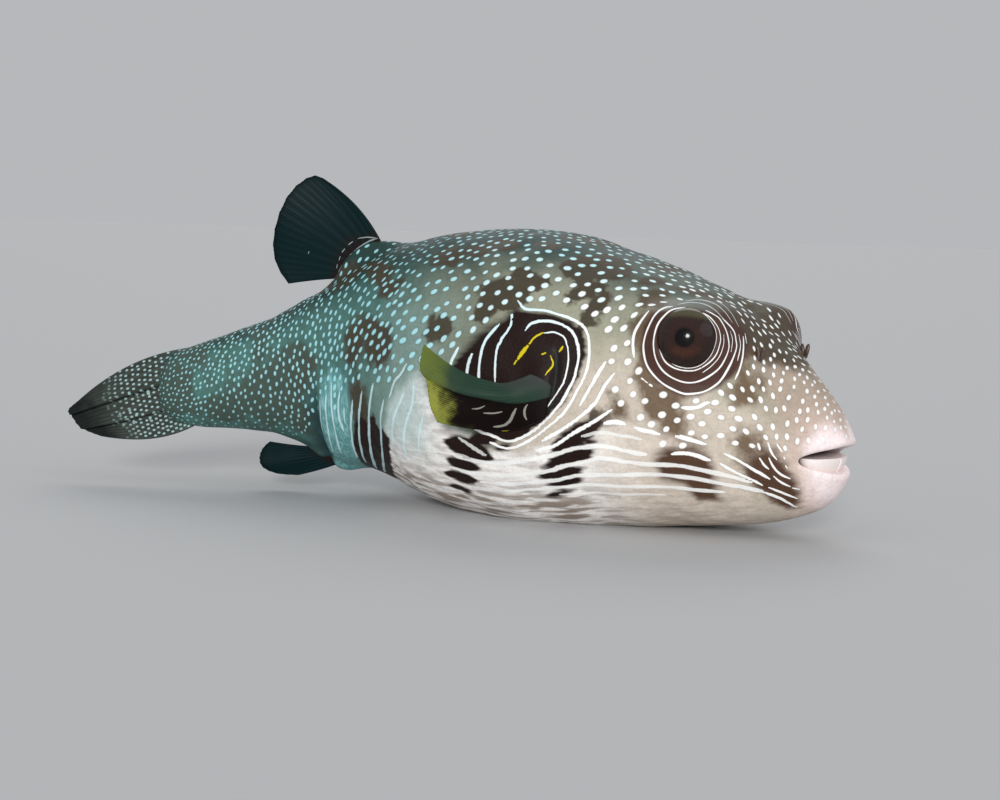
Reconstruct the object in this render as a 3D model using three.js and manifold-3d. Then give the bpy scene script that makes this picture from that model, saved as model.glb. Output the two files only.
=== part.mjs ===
// A white-spotted puffer at rest on its belly, as a life-size still model. Millimetres, +Z up.
// The fish is laid out straight first: snout at x = 0, tail along -X, right side along -Y, floor at z = 0.
// Its head and tail are then swung a little towards its right side, as a resting fish holds them.
import * as THREE from "three";
import { LoftGeometry } from "three/addons/geometries/LoftGeometry.js";
import { mergeVertices } from "three/addons/utils/BufferGeometryUtils.js";
import Module from "manifold-3d";

// Driving dimensions
const gap = 0.3; // left between neighbouring solids
const restX = -125; // the frame's origin lies under this place on the midline, below the mass centre
const headSwing = { from: -140, to: -62, degrees: 7 };
const tailSwing = { from: -165, to: -235, degrees: 20 };
const mouthX = -12.5; // the lips lie in front of this
const gillX = -84; // the head ends here
const stalkX = -217; // the tail stalk begins here
const ringsPerStation = 3;
const pointsPerRing = 34;

// Cross sections of the body, behind the snout: top, bottom and half width, the height of the widest place,
// and how square the section is above and below that height (2 is an ellipse).
const stations = [
  { at: 0, top: 34, bottom: 31.5, half: 1.5, mid: 33, above: 2, below: 2 },
  { at: 2, top: 38.5, bottom: 24, half: 8.5, mid: 33, above: 2, below: 2 },
  { at: 8, top: 48.5, bottom: 14, half: 15, mid: 34, above: 2, below: 2 },
  { at: 18, top: 59.5, bottom: 8.5, half: 21.5, mid: 36, above: 2, below: 2.1 },
  { at: 32, top: 72, bottom: 4.5, half: 30.5, mid: 42, above: 2.2, below: 2.2 },
  { at: 48, top: 84, bottom: 2.5, half: 38.5, mid: 48, above: 2.4, below: 2.3 },
  { at: 68, top: 92, bottom: 0, half: 45.5, mid: 50, above: 2.3, below: 2.4 },
  { at: 92, top: 100, bottom: -3, half: 52, mid: 50, above: 2.2, below: 2.4 },
  { at: 118, top: 106.5, bottom: -5, half: 56, mid: 49, above: 2.1, below: 2.4 },
  { at: 145, top: 107, bottom: -3, half: 54, mid: 47, above: 2, below: 2.3 },
  { at: 170, top: 104, bottom: 2.5, half: 47, mid: 47, above: 2, below: 2.2 },
  { at: 193, top: 97.5, bottom: 9.5, half: 36, mid: 50, above: 2, below: 2.1 },
  { at: 215, top: 85, bottom: 15, half: 26, mid: 50, above: 2, below: 2 },
  { at: 243, top: 69, bottom: 23, half: 18, mid: 46, above: 2, below: 2 },
  { at: 272, top: 57.5, bottom: 24, half: 12, mid: 40, above: 2, below: 2 },
  { at: 284, top: 52.5, bottom: 27, half: 6.5, mid: 39, above: 2, below: 2 },
  { at: 288, top: 46, bottom: 32, half: 2.5, mid: 39, above: 2, below: 2 },
];

const eye = {
  centre: new THREE.Vector3(-50.5, 30.5, 70.5),
  facing: new THREE.Vector3(0.37, 0.92, 0.1).normalize(),
  radius: 12.5,
  browHeight: 8.6, // how far the flesh stands out round it, from the eye's centre
  browReach: 19,
};
const mouth = { height: 31.6, halfWidth: 17.2, halfOpening: 2.8, deep: 16 };
const beak = { x: -13, z: 31.5, radii: [7, 14.5, 7], lowerEdge: 32, upperEdge: 33.7 };
const noseFlap = { place: new THREE.Vector3(-28.5, 18, 64.5), lobe: [1, 0.8, 3.2], spread: 0.5, lean: 9 };

const pectoral = {
  x: -95,
  side: 50,
  flare: THREE.MathUtils.degToRad(28),
  base: { x: -95.5, y: 49.5, z: 50.5, radii: [6, 7.5, 13] },
};
const dorsalBase = { x: -204, z: 92.5, radii: [12.5, 4.2, 8.5], slope: 30 };
const analBase = { x: -214.5, z: 15.5, radii: [11, 3.6, 4.6], slope: -15 };

const colours = {
  skin: { color: 0x6f6a58, roughness: 0.55, metalness: 0 },
  lip: { color: 0xd8c2bc, roughness: 0.5, metalness: 0 },
  beak: { color: 0xf0ece6, roughness: 0.35, metalness: 0 },
  eye: { color: 0x1c100c, roughness: 0.08, metalness: 0 },
  flap: { color: 0x3a3228, roughness: 0.6, metalness: 0 },
  fin: { color: 0x28322c, roughness: 0.55, metalness: 0 },
  pectoralFin: { color: 0x4a5a34, roughness: 0.55, metalness: 0 },
  tailFin: { color: 0x4a4038, roughness: 0.55, metalness: 0 },
};

const wasm = await Module();
wasm.setup();

// A value that runs smoothly through evenly spaced ones; place counts from 0 to their number less 1.
function smoothly(values, place) {
  const last = values.length - 1;
  const i = Math.min(Math.floor(place), last - 1);
  const t = place - i;
  const slope = (k) => {
    const before = Math.max(k - 1, 0);
    const after = Math.min(k + 1, last);
    return (values[after] - values[before]) / (after - before);
  };
  const t2 = t * t;
  const t3 = t2 * t;
  return (
    (2 * t3 - 3 * t2 + 1) * values[i] +
    (t3 - 2 * t2 + t) * slope(i) +
    (3 * t2 - 2 * t3) * values[i + 1] +
    (t3 - t2) * slope(i + 1)
  );
}

// Turns everything past swing.from about a vertical axis, more and more up to swing.to, straight beyond it.
function swingPast(point, swing) {
  const way = Math.sign(swing.to - swing.from);
  const length = Math.abs(swing.to - swing.from);
  const full = THREE.MathUtils.degToRad(swing.degrees);
  const past = (point.x - swing.from) * way;
  if (past <= 0) return point;
  const within = Math.min(past, length);
  const turn = (full * within) / length;
  const radius = length / full;
  const along = radius * Math.sin(turn) + (past - within) * Math.cos(turn);
  const aside = radius * (1 - Math.cos(turn)) + (past - within) * Math.sin(turn);
  const { y } = point;
  point.x = swing.from + way * (along + y * Math.sin(turn));
  point.y = y * Math.cos(turn) - aside;
  return point;
}

// A closed geometry as a solid, turned right side out if it was made inside out.
function solid(geometry) {
  geometry.deleteAttribute("normal");
  geometry.deleteAttribute("uv");
  const merged = mergeVertices(geometry, 1e-4);
  const make = (triVerts) =>
    new wasm.Manifold(
      new wasm.Mesh({ numProp: 3, vertProperties: merged.attributes.position.array, triVerts }),
    );
  const triangles = new Uint32Array(merged.index.array);
  const made = make(triangles);
  return made.volume() > 0 ? made : make(triangles.reverse());
}

// A solid as a mesh of the resting fish.
function mesh(name, body, finish) {
  const { vertProperties, triVerts, numVert } = body.getMesh();
  const position = new THREE.BufferAttribute(new Float32Array(numVert * 3), 3);
  const point = new THREE.Vector3();
  for (let i = 0; i < numVert; i += 1) {
    point.fromArray(vertProperties, i * 3);
    swingPast(point, headSwing);
    swingPast(point, tailSwing);
    position.setXYZ(i, point.x - restX, point.y, point.z);
  }
  const geometry = new THREE.BufferGeometry();
  geometry.setAttribute("position", position);
  geometry.setIndex(new THREE.BufferAttribute(triVerts, 1));
  geometry.computeVertexNormals();
  const made = new THREE.Mesh(geometry, new THREE.MeshStandardMaterial(finish));
  made.name = name;
  return made;
}

function block(from, to) {
  const size = new THREE.Vector3().subVectors(to, from);
  const centre = new THREE.Vector3().addVectors(from, to).multiplyScalar(0.5);
  return solid(new THREE.BoxGeometry(size.x, size.y, size.z).translate(centre.x, centre.y, centre.z));
}

const far = 400;
const behind = (x) => block(new THREE.Vector3(-far, -far, -far), new THREE.Vector3(x, far, far));
const before = (x) => block(new THREE.Vector3(x, -far, -far), new THREE.Vector3(far, far, far));
const above = (z) => block(new THREE.Vector3(-far, -far, z), new THREE.Vector3(far, far, far));
const below = (z) => block(new THREE.Vector3(-far, -far, -far), new THREE.Vector3(far, far, z));
const beside = (side) =>
  side > 0
    ? block(new THREE.Vector3(-far, gap / 2, -far), new THREE.Vector3(far, far, far))
    : block(new THREE.Vector3(-far, -far, -far), new THREE.Vector3(far, -gap / 2, far));

// An egg of three radii, tipped by degrees about the Y axis.
function egg(x, y, z, radii, grow = 0, slope = 0, columns = 12, rows = 8) {
  const geometry = new THREE.SphereGeometry(1, columns, rows);
  geometry.scale(radii[0] + grow, radii[1] + grow, radii[2] + grow);
  geometry.rotateY(-THREE.MathUtils.degToRad(slope));
  return solid(geometry.translate(x, y, z));
}

const sideEye = (side) => eye.centre.clone().setY(eye.centre.y * side);
const sideFacing = (side) => eye.facing.clone().setY(eye.facing.y * side);

// Raises the flesh into a low dome round each eye.
function raiseBrow(point) {
  const side = Math.sign(point.y) || 1;
  const facing = sideFacing(side);
  const from = point.clone().sub(sideEye(side));
  const height = from.dot(facing);
  const across = Math.sqrt(Math.max(from.lengthSq() - height * height, 0));
  const dome = eye.browHeight * Math.exp(-((across / (eye.browReach * 1.25)) ** 3));
  const share = Math.exp(-((across / eye.browReach) ** 4));
  if (height < -eye.radius * 1.6 || height > dome) return point;
  return point.addScaledVector(facing, share * (dome - height));
}

const profile = (key) => stations.map((station) => station[key]);
const profiles = Object.fromEntries(Object.keys(stations[0]).map((key) => [key, profile(key)]));

// One ring of the body, as points round the section at a place along the stations.
function ring(place, grow) {
  const here = (key) => smoothly(profiles[key], place);
  const points = [];
  for (let i = 0; i < pointsPerRing; i += 1) {
    const angle = (i / pointsPerRing) * Math.PI * 2;
    const upper = Math.sin(angle) > 0;
    const power = 2 / here(upper ? "above" : "below");
    const rise = upper ? here("top") - here("mid") : here("mid") - here("bottom");
    const round = (value) => Math.sign(value) * Math.abs(value) ** power;
    const y = -(here("half") + grow) * round(Math.cos(angle));
    const z = here("mid") + (rise + grow) * round(Math.sin(angle));
    const point = raiseBrow(new THREE.Vector3(-here("at"), y, z));
    point.z = Math.max(point.z, -grow);
    points.push(point);
  }
  return points;
}

function flesh(grow = 0) {
  const rings = [];
  const last = stations.length - 1;
  for (let i = 0; i <= last * ringsPerStation; i += 1) rings.push(ring(i / ringsPerStation, grow));
  return solid(new LoftGeometry(rings, { capStart: true, capEnd: true }));
}

// A thin closed leaf about a surface, halfThick(along) to each side of it: a flat box bent onto the surface.
function leaf(surface, halfThick, acrossSteps, alongSteps) {
  const nudge = 1e-3;
  const at = (u, v) => surface(THREE.MathUtils.clamp(u, 0, 1), THREE.MathUtils.clamp(v, 0, 1));
  const geometry = new THREE.BoxGeometry(1, 1, 1, acrossSteps, alongSteps, 1);
  const { position } = geometry.attributes;
  for (let i = 0; i < position.count; i += 1) {
    const u = position.getX(i) + 0.5;
    const v = position.getY(i) + 0.5;
    const across = at(u + nudge, v).sub(at(u - nudge, v));
    const along = at(u, v + nudge).sub(at(u, v - nudge));
    const out = across.cross(along).setLength(halfThick(v) * Math.sign(position.getZ(i)));
    const point = at(u, v).add(out);
    position.setXYZ(i, point.x, point.y, point.z);
  }
  return solid(geometry);
}

const thinning = (atBase, atMargin) => (v) => atBase + (atMargin - atBase) * v;

// A fan of rays from a root line to a margin: each ray is a curve through its own bend point.
function fan(root, bend, margin, side = () => new THREE.Vector3()) {
  return (u, v) => new THREE.QuadraticBezierCurve3(root(u), bend(u), margin(u)).getPoint(v).add(side(u, v));
}

// A fan in the fish's midplane, its rays leaning back from straight up or down.
function midFan({ from, to, lengths, leans, way, wave }) {
  const root = (u) => new THREE.Vector3().lerpVectors(from, to, u);
  const margin = (u) => {
    const length = smoothly(lengths, u * (lengths.length - 1));
    const lean = THREE.MathUtils.degToRad(smoothly(leans, u * (leans.length - 1)));
    return root(u).add(new THREE.Vector3(-length * Math.sin(lean), 0, way * length * Math.cos(lean)));
  };
  const outOfLine = new THREE.Vector3(1.2, 0, way);
  const bend = (u) => new THREE.Vector3().lerpVectors(root(u), margin(u), 0.5).add(outOfLine);
  return fan(root, bend, margin, (u, v) => new THREE.Vector3(0, wave * v * v * Math.sin(u * 9), 0));
}

const dorsalFan = midFan({
  from: new THREE.Vector3(-196, 0, 95),
  to: new THREE.Vector3(-213, 0, 85.5),
  lengths: [38.5, 43.5, 44, 40, 34, 24],
  leans: [42, 41, 49, 64, 80, 97],
  way: 1,
  wave: 1.1,
});
const analFan = midFan({
  from: new THREE.Vector3(-207.5, 0, 14.5),
  to: new THREE.Vector3(-222, 0, 18),
  lengths: [25, 31, 33, 31, 27, 21],
  leans: [70, 73, 77, 82, 87, 93],
  way: -1,
  wave: 0.8,
});

// The tail fin is half folded, in three lobes that overlap like the slats of a closed fan.
const tailLobes = 3;
const tailFan = fan(
  (u) => new THREE.Vector3(-274, 0, 56 - 32 * u),
  (u) => new THREE.Vector3(-303 + 13 * u, 0, 52 - 37 * u),
  (u) => {
    const back = smoothly([325, 326.5, 321, 313], u * 3);
    return new THREE.Vector3(-back, 0, smoothly([30, 27.5, 21, 18.5], u * 3));
  },
  (u, v) => {
    const aside = 1.5 * Math.sin(Math.PI * v * 0.6) * Math.cos(2 * Math.PI * tailLobes * u);
    return new THREE.Vector3(0, aside, 0);
  },
);

// The pectoral fin stands away from the flank, arched along a ridge below its upper edge.
function pectoralFan(side) {
  const place = (back, out, z) =>
    new THREE.Vector3(
      pectoral.x - back * Math.cos(pectoral.flare) - out * Math.sin(pectoral.flare),
      side * (pectoral.side + back * Math.sin(pectoral.flare) + out * Math.cos(pectoral.flare)),
      z,
    );
  const arch = (u) => smoothly([0, 4.5, 2.5, -0.5, -3], u * 4);
  const reach = (u) => smoothly([50.5, 50, 48.6, 47.4, 46], u * 4);
  const height = (u) => smoothly([66, 58, 50, 43, 38], u * 4);
  return fan(
    (u) => place(2, 0, 60.5 - 19.5 * u),
    (u) => place(26 - 6 * u, arch(u) * 1.1, 46 - 14 * u),
    (u) => place(reach(u), arch(u), height(u)),
  );
}

const without = (body, ...cutters) => cutters.reduce((left, cutter) => left.subtract(cutter), body);

const fish = new THREE.Group();
const add = (name, body, finish) => fish.add(mesh(name, body, finish));

const body = flesh();
const bodyWithGap = flesh(gap);
const sides = { left: 1, right: -1 };

// Mouth: a lens-shaped slot between the lips, with the four plates of the beak standing across it.
const slotLength = mouth.deep + 20;
const slot = solid(
  new THREE.CylinderGeometry(1, 1, slotLength, 28)
    .rotateZ(Math.PI / 2)
    .scale(1, mouth.halfWidth, mouth.halfOpening)
    .translate(slotLength / 2 - mouth.deep, 0, mouth.height),
);
const beakWhole = egg(beak.x, 0, beak.z, beak.radii, 0, 0, 14, 10);
const beakRoom = egg(beak.x, 0, beak.z, beak.radii, gap, 0, 14, 10);
const snout = without(body.intersect(before(mouthX + gap / 2)), slot, beakRoom);
add("upper_lip", snout.intersect(above(mouth.height + gap / 2)), colours.lip);
add("lower_lip", snout.intersect(below(mouth.height - gap / 2)), colours.lip);
for (const [name, side] of Object.entries(sides)) {
  const half = beakWhole.intersect(beside(side));
  add(`beak_upper_${name}`, half.intersect(above(beak.upperEdge)), colours.beak);
  add(`beak_lower_${name}`, half.intersect(below(beak.lowerEdge)), colours.beak);
}

// Head, trunk and tail stalk: one body, parted by thin cuts.
const ball = (side, grow) => {
  const { x, y, z } = sideEye(side);
  return egg(x, y, z, [eye.radius, eye.radius, eye.radius], grow, 0, 16, 10);
};
const headBlock = body.intersect(before(gillX + gap / 2)).intersect(behind(mouthX - gap / 2));
add("head", without(headBlock, slot, beakRoom, ball(1, gap), ball(-1, gap)), colours.skin);
add("trunk", body.intersect(before(stalkX + gap / 2)).intersect(behind(gillX - gap / 2)), colours.skin);
add("tail_stalk", body.intersect(behind(stalkX - gap / 2)), colours.skin);

// Eyes, forked nose flaps and pectoral fins, on both sides.
for (const [name, side] of Object.entries(sides)) {
  add(`eye_${name}`, ball(side, 0), colours.eye);

  const { x, y, z } = noseFlap.place;
  const lobe = (shift, lean) => egg(x + shift, y * side, z + 2, noseFlap.lobe, 0, lean, 8, 6);
  const flap = lobe(noseFlap.spread, -noseFlap.lean).add(lobe(-noseFlap.spread, noseFlap.lean));
  add(`nose_flap_${name}`, without(flap, bodyWithGap), colours.flap);

  const { base } = pectoral;
  const root = egg(base.x, base.y * side, base.z, base.radii);
  const rootRoom = egg(base.x, base.y * side, base.z, base.radii, gap);
  add(`pectoral_base_${name}`, without(root, bodyWithGap), colours.skin);
  const fin = leaf(pectoralFan(side), thinning(0.9, 0.4), 10, 8);
  add(`pectoral_fin_${name}`, without(fin, bodyWithGap, rootRoom), colours.pectoralFin);
}

// Dorsal and anal fins on their fleshy bases, and the tail fin.
for (const [name, base, surface] of [
  ["dorsal", dorsalBase, dorsalFan],
  ["anal", analBase, analFan],
]) {
  const root = egg(base.x, 0, base.z, base.radii, 0, base.slope);
  const rootRoom = egg(base.x, 0, base.z, base.radii, gap, base.slope);
  add(`${name}_base`, without(root, bodyWithGap), colours.skin);
  const fin = leaf(surface, thinning(0.9, 0.4), 11, 6);
  add(`${name}_fin`, without(fin, bodyWithGap, rootRoom), colours.fin);
}
add("caudal_fin", without(leaf(tailFan, thinning(1.3, 0.45), 18, 7), bodyWithGap), colours.tailFin);

export default fish;
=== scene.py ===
import math

import bmesh
import bpy
import numpy as np
from mathutils import Matrix, Vector
from mathutils.kdtree import KDTree


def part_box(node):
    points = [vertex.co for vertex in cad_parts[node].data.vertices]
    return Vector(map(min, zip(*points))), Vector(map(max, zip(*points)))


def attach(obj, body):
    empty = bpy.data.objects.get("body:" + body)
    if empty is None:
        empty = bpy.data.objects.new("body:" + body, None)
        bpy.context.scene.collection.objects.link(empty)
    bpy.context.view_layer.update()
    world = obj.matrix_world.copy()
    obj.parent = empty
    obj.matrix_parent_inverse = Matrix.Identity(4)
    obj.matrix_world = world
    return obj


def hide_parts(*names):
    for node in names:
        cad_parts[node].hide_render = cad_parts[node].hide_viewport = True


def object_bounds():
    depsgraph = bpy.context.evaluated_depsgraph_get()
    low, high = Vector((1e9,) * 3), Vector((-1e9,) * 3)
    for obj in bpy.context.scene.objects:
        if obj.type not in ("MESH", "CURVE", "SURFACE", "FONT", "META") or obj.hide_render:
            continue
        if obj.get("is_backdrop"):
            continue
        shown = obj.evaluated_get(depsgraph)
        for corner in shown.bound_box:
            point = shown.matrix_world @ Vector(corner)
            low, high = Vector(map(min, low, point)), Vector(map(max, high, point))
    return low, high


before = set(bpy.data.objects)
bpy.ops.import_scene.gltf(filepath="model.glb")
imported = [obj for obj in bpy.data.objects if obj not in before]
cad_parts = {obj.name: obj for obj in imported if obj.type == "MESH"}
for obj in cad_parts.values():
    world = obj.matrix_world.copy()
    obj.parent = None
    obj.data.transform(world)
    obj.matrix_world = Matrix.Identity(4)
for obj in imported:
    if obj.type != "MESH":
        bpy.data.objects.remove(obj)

# A white-spotted puffer at rest on its belly. Everything is worked out in millimetres on a straight fish,
# snout at x = 0, tail along -X and right side along -Y, then swung into its resting pose and made metres.
mm = 0.001
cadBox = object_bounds()
boxCentre = (Vector(cadBox[0]) + Vector(cadBox[1])) / 2
sides = {"left": 1, "right": -1}
print("frame loaded,", len(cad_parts), "solids")


# camera, floor and light

view = {
    "azimuth": 26.5, "elevation": 4.7, "roll": 1.82,  # degrees
    "distance": 0.8,
    "aimFromCentre": (0.0149, 0, -0.0219),
    "lens": 74.45, "sensor": 36,
}
studio = {
    "floorRadius": 60, "floorColour": (0.508, 0.513, 0.52, 1), "floorRoughness": 0.8,
    "skyColour": (0.94, 0.96, 0.99, 1), "skyStrength": 0.5,
    # name, azimuth, elevation, degrees wide, strength
    "lamps": [("key", 22, 16, 14, 2.2), ("fill", 96, 30, 40, 0.3), ("back", 205, 42, 40, 0.6)],
}


def direction(azimuth, elevation):
    a, e = math.radians(azimuth), math.radians(elevation)
    return Vector((math.sin(a) * math.cos(e), -math.cos(a) * math.cos(e), math.sin(e)))


def addObject(name, data):
    made = bpy.data.objects.new(name, data)
    bpy.context.scene.collection.objects.link(made)
    return made


def makeCamera():
    data = bpy.data.cameras.new("camera")
    data.lens, data.sensor_width = view["lens"], view["sensor"]
    camera = addObject("camera", data)
    away = direction(view["azimuth"], view["elevation"])
    turned = away.to_track_quat("Z", "Y").to_matrix() @ Matrix.Rotation(math.radians(view["roll"]), 3, "Z")
    place = boxCentre + Vector(view["aimFromCentre"]) + away * view["distance"]
    camera.matrix_world = Matrix.Translation(place) @ turned.to_4x4()
    bpy.context.scene.camera = camera


def makeStudio():
    mesh = bmesh.new()
    bmesh.ops.create_circle(mesh, cap_ends=True, radius=studio["floorRadius"], segments=64)
    data = bpy.data.meshes.new("floor")
    mesh.to_mesh(data)
    mesh.free()
    paint = bpy.data.materials.new("floorPaint")
    paint.use_nodes = True
    shader = paint.node_tree.nodes["Principled BSDF"].inputs
    shader["Base Color"].default_value = studio["floorColour"]
    shader["Roughness"].default_value = studio["floorRoughness"]
    data.materials.append(paint)
    floor = addObject("floor", data)
    floor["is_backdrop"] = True
    for name, azimuth, elevation, wide, strength in studio["lamps"]:
        lamp = bpy.data.lights.new(name, "SUN")
        lamp.angle, lamp.energy = math.radians(wide), strength
        stand = addObject(name, lamp)
        away = direction(azimuth, elevation)
        turned = away.to_track_quat("Z", "Y").to_matrix().to_4x4()
        stand.matrix_world = Matrix.Translation(boxCentre + away) @ turned
    world = bpy.data.worlds.new("sky")
    world.use_nodes = True
    sky = world.node_tree.nodes["Background"].inputs
    sky["Color"].default_value, sky["Strength"].default_value = studio["skyColour"], studio["skyStrength"]
    bpy.context.scene.world = world
    bpy.context.scene.view_settings.view_transform = "Standard"


makeCamera()
makeStudio()
print("camera, floor and light placed")


# shape of the body

fish = {
    # behind the snout; top, bottom, half width; height of the widest place; squareness above and below it
    "stations": [
        (0, 34, 31.5, 1.5, 33, 2, 2),
        (2, 38.5, 24, 8.5, 33, 2, 2),
        (8, 48.5, 14, 15, 34, 2, 2),
        (18, 59.5, 8.5, 21.5, 36, 2, 2.1),
        (32, 72, 4.5, 30.5, 42, 2.2, 2.2),
        (48, 84, 2.5, 38.5, 48, 2.4, 2.3),
        (68, 92, 0, 45.5, 50, 2.3, 2.4),
        (92, 100, -3, 52, 50, 2.2, 2.4),
        (118, 106.5, -5, 56, 49, 2.1, 2.4),
        (145, 107, -3, 54, 47, 2, 2.3),
        (170, 104, 2.5, 47, 47, 2, 2.2),
        (193, 97.5, 9.5, 36, 50, 2, 2.1),
        (215, 85, 15, 26, 50, 2, 2),
        (243, 69, 23, 18, 46, 2, 2),
        (272, 57.5, 24, 12, 40, 2, 2),
        (284, 52.5, 27, 6.5, 39, 2, 2),
        (288, 46, 32, 2.5, 39, 2, 2),
    ],
    "headSwing": (-140, -62, 7), "tailSwing": (-165, -235, 20),  # from, to, degrees
}
eye = {
    "centre": (-50.5, 30.5, 70.5), "facing": (0.37, 0.92, 0.1), "radius": 12.5,  # centre of the left eye
    # the flesh is drawn out to a dome over this reach, and not above the shelf
    "browHeight": 8.6, "browReach": 19, "browDepth": 20, "domeReach": 23.75, "browShelf": (8.2, 15.2),
    "rim": 9.9, "rimRound": 1.6, "rimSlope": 0.6, "sunk": 3.2, "lidHeight": 0.55, "lidWidth": 1.1,
    "surround": 27,  # marks this near to the eye's axis are laid square to the way it looks
}
mouth = {
    "height": 30, "halfWidth": 16.8, "halfOpening": 4.7, "deep": 19,
    "lipRound": 2.6, "join": 22,  # the head's rings begin this far behind the snout
}
stations = np.array(fish["stations"], float)


def smoothly(values, place):
    values = np.asarray(values, float)
    last = len(values) - 1
    place = np.clip(np.asarray(place, float), 0, last)
    low = np.minimum(place.astype(int), last - 1)
    t = place - low
    slopes = np.gradient(values, axis=0)
    if values.ndim > 1:
        t = t[..., None]
    return (
        (2 * t**3 - 3 * t**2 + 1) * values[low]
        + (t**3 - 2 * t**2 + t) * slopes[low]
        + (3 * t**2 - 2 * t**3) * values[low + 1]
        + (t**3 - t**2) * slopes[low + 1]
    )


def smoothStep(value, low, high):
    t = np.clip((value - low) / (high - low), 0, 1)
    return t * t * (3 - 2 * t)


def bell(value, width):
    return np.exp(-((value / width) ** 2))


def placeAt(distance):
    # the place among the stations that lies this far behind the snout
    places = np.linspace(0, len(stations) - 1, 2000)
    return np.interp(distance, smoothly(stations[:, 0], places), places)


def onBody(place, angle):
    # angle 0 is the right side, 90 degrees the back, 180 the left side and -90 the belly
    at, top, bottom, half, mid, above, below = np.moveaxis(smoothly(stations, place), -1, 0)
    up, out = np.sin(angle), np.cos(angle)
    power = 2 / np.where(up > 0, above, below)
    rise = np.where(up > 0, top - mid, mid - bottom)
    y = -half * np.sign(out) * np.abs(out) ** power
    z = mid + rise * np.sign(up) * np.abs(up) ** power
    return np.stack([-at, y, z], -1)


def roundBody(place, y, z):
    # under 1 inside the section at this place, over 1 outside it; and the angle of the point there
    at, top, bottom, half, mid, above, below = np.moveaxis(smoothly(stations, place), -1, 0)
    up = z - mid
    power = np.where(up > 0, above, below)
    rise = np.where(up > 0, top - mid, mid - bottom)
    across, over = (np.abs(y) / half) ** (power / 2), (np.abs(up) / rise) ** (power / 2)
    return across**2 + over**2, np.arctan2(np.sign(up) * over, -np.sign(y) * across)


def swingPast(points, swing):
    # turns everything past a place about a vertical axis, more and more up to the swing's end
    begin, end, degrees = swing
    way, length, full = math.copysign(1, end - begin), abs(end - begin), math.radians(degrees)
    past = np.maximum((points[..., 0] - begin) * way, 0)
    within = np.minimum(past, length)
    turn, radius = full * within / length, length / full
    along = radius * np.sin(turn) + (past - within) * np.cos(turn)
    aside = radius * (1 - np.cos(turn)) + (past - within) * np.sin(turn)
    x, y = points[..., 0], points[..., 1]
    swungX = np.where(past > 0, begin + way * (along + y * np.sin(turn)), x)
    swungY = np.where(past > 0, y * np.cos(turn) - aside, y)
    return np.stack([swungX, swungY, points[..., 2]], -1)


def eyeAxes(side):
    centre, facing = np.array(eye["centre"]), np.array(eye["facing"])
    facing = facing / np.linalg.norm(facing)
    return centre * (1, side, 1), facing * (1, side, 1)


def swung(points):
    return swingPast(swingPast(points, fish["headSwing"]), fish["tailSwing"])


# how far the fish is moved along X, so that its eyes lie where the solid eyes do
shift = np.mean([
    sum(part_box("eye_" + name), Vector()).x / 2 / mm - swung(eyeAxes(side)[0])[0]
    for name, side in sides.items()
])


def posed(points):
    return (swung(points) + (shift, 0, 0)) * mm


def roundEye(points, side):
    # height along the eye's facing and distance from its axis
    centre, facing = eyeAxes(side)
    offset = points - centre
    height = offset @ facing
    across = np.sqrt(np.maximum((offset**2).sum(-1) - height**2, 0))
    return height, across


def raiseBrow(points):
    # the flesh round each eye, drawn out to a dome
    for side in sides.values():
        _, facing = eyeAxes(side)
        height, across = roundEye(points, side)
        dome = eye["browHeight"] * np.exp(-((across / eye["domeReach"]) ** 3))
        share = np.exp(-((across / eye["browReach"]) ** 4))
        share *= 1 - smoothStep(points[..., 2] - eye["centre"][2], *eye["browShelf"])
        near = (points[..., 1] * side > 0) & (height > -eye["browDepth"]) & (height < dome)
        points = points + facing * np.where(near, share * (dome - height), 0)[..., None]
    return points


def sinkSockets(points):
    # a rounded lid round each eye, and the flesh inside it drawn down below the eyeball
    for side in sides.values():
        _, facing = eyeAxes(side)
        height, across = roundEye(points, side)
        near = (points[..., 1] * side > 0) & (height > -eye["radius"])
        lid = eye["lidHeight"] * bell(across - eye["rim"] - eye["rimRound"], eye["lidWidth"])
        beyond = smoothStep(across, eye["rim"] - eye["rimRound"], eye["rim"] + eye["rimSlope"])
        sink = eye["sunk"] * (1 - beyond)
        points = points + facing * np.where(near, lid - sink, 0)[..., None]
    return points


# the skin: one grid that starts inside the mouth, turns out over the lips and runs back to the tail

skinGrid = {
    "columns": 272, "pocketRows": 12, "lipRows": 46, "tailRows": 5,
    "bellyThinning": 0.45, "bellyReach": 35,  # columns stand wider apart within these degrees of the belly
    "lipGathering": 1.35,  # rows stand closer at the lips, and beside the eyes
    "spacing": 0.95, "eyeSpacing": 0.72, "eyeFrom": 32, "eyeTo": 70, "eyeFade": 6,
    "tailCap": 0.6,
}
bulges = {
    # centre on the straight fish, reach along it and across the foot, height, how round; slope in degrees
    "pectoral": {"centre": (-98.5, 52, 48.5), "reach": (6, 11), "height": 2.8, "round": 1.4},
    "dorsal": {"centre": (-204, 0, 92.5), "reach": (13.5, 4.6), "height": 7.6, "round": 1.3, "slope": 30},
    "anal": {"centre": (-214.5, 0, 15.5), "reach": (12, 4.2), "height": 3.6, "round": 1.3, "slope": -15},
    "sideways": 20,  # a pectoral foot swells only what lies farther out than this
    "within": (25, 12),  # and the other two only what is this near, along the fish and inwards
}


def columnAngles():
    half = np.linspace(-90, 90, 721)  # every quarter of a degree
    density = 1 - skinGrid["bellyThinning"] * bell(half + 90, skinGrid["bellyReach"])
    run = np.concatenate([[0], np.cumsum((density[1:] + density[:-1]) / 2)])
    columns = skinGrid["columns"] // 2
    right = np.interp(np.linspace(0, run[-1], columns + 1), run, half)
    return np.radians(np.concatenate([right, 180 - right[-2::-1]]))


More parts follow.
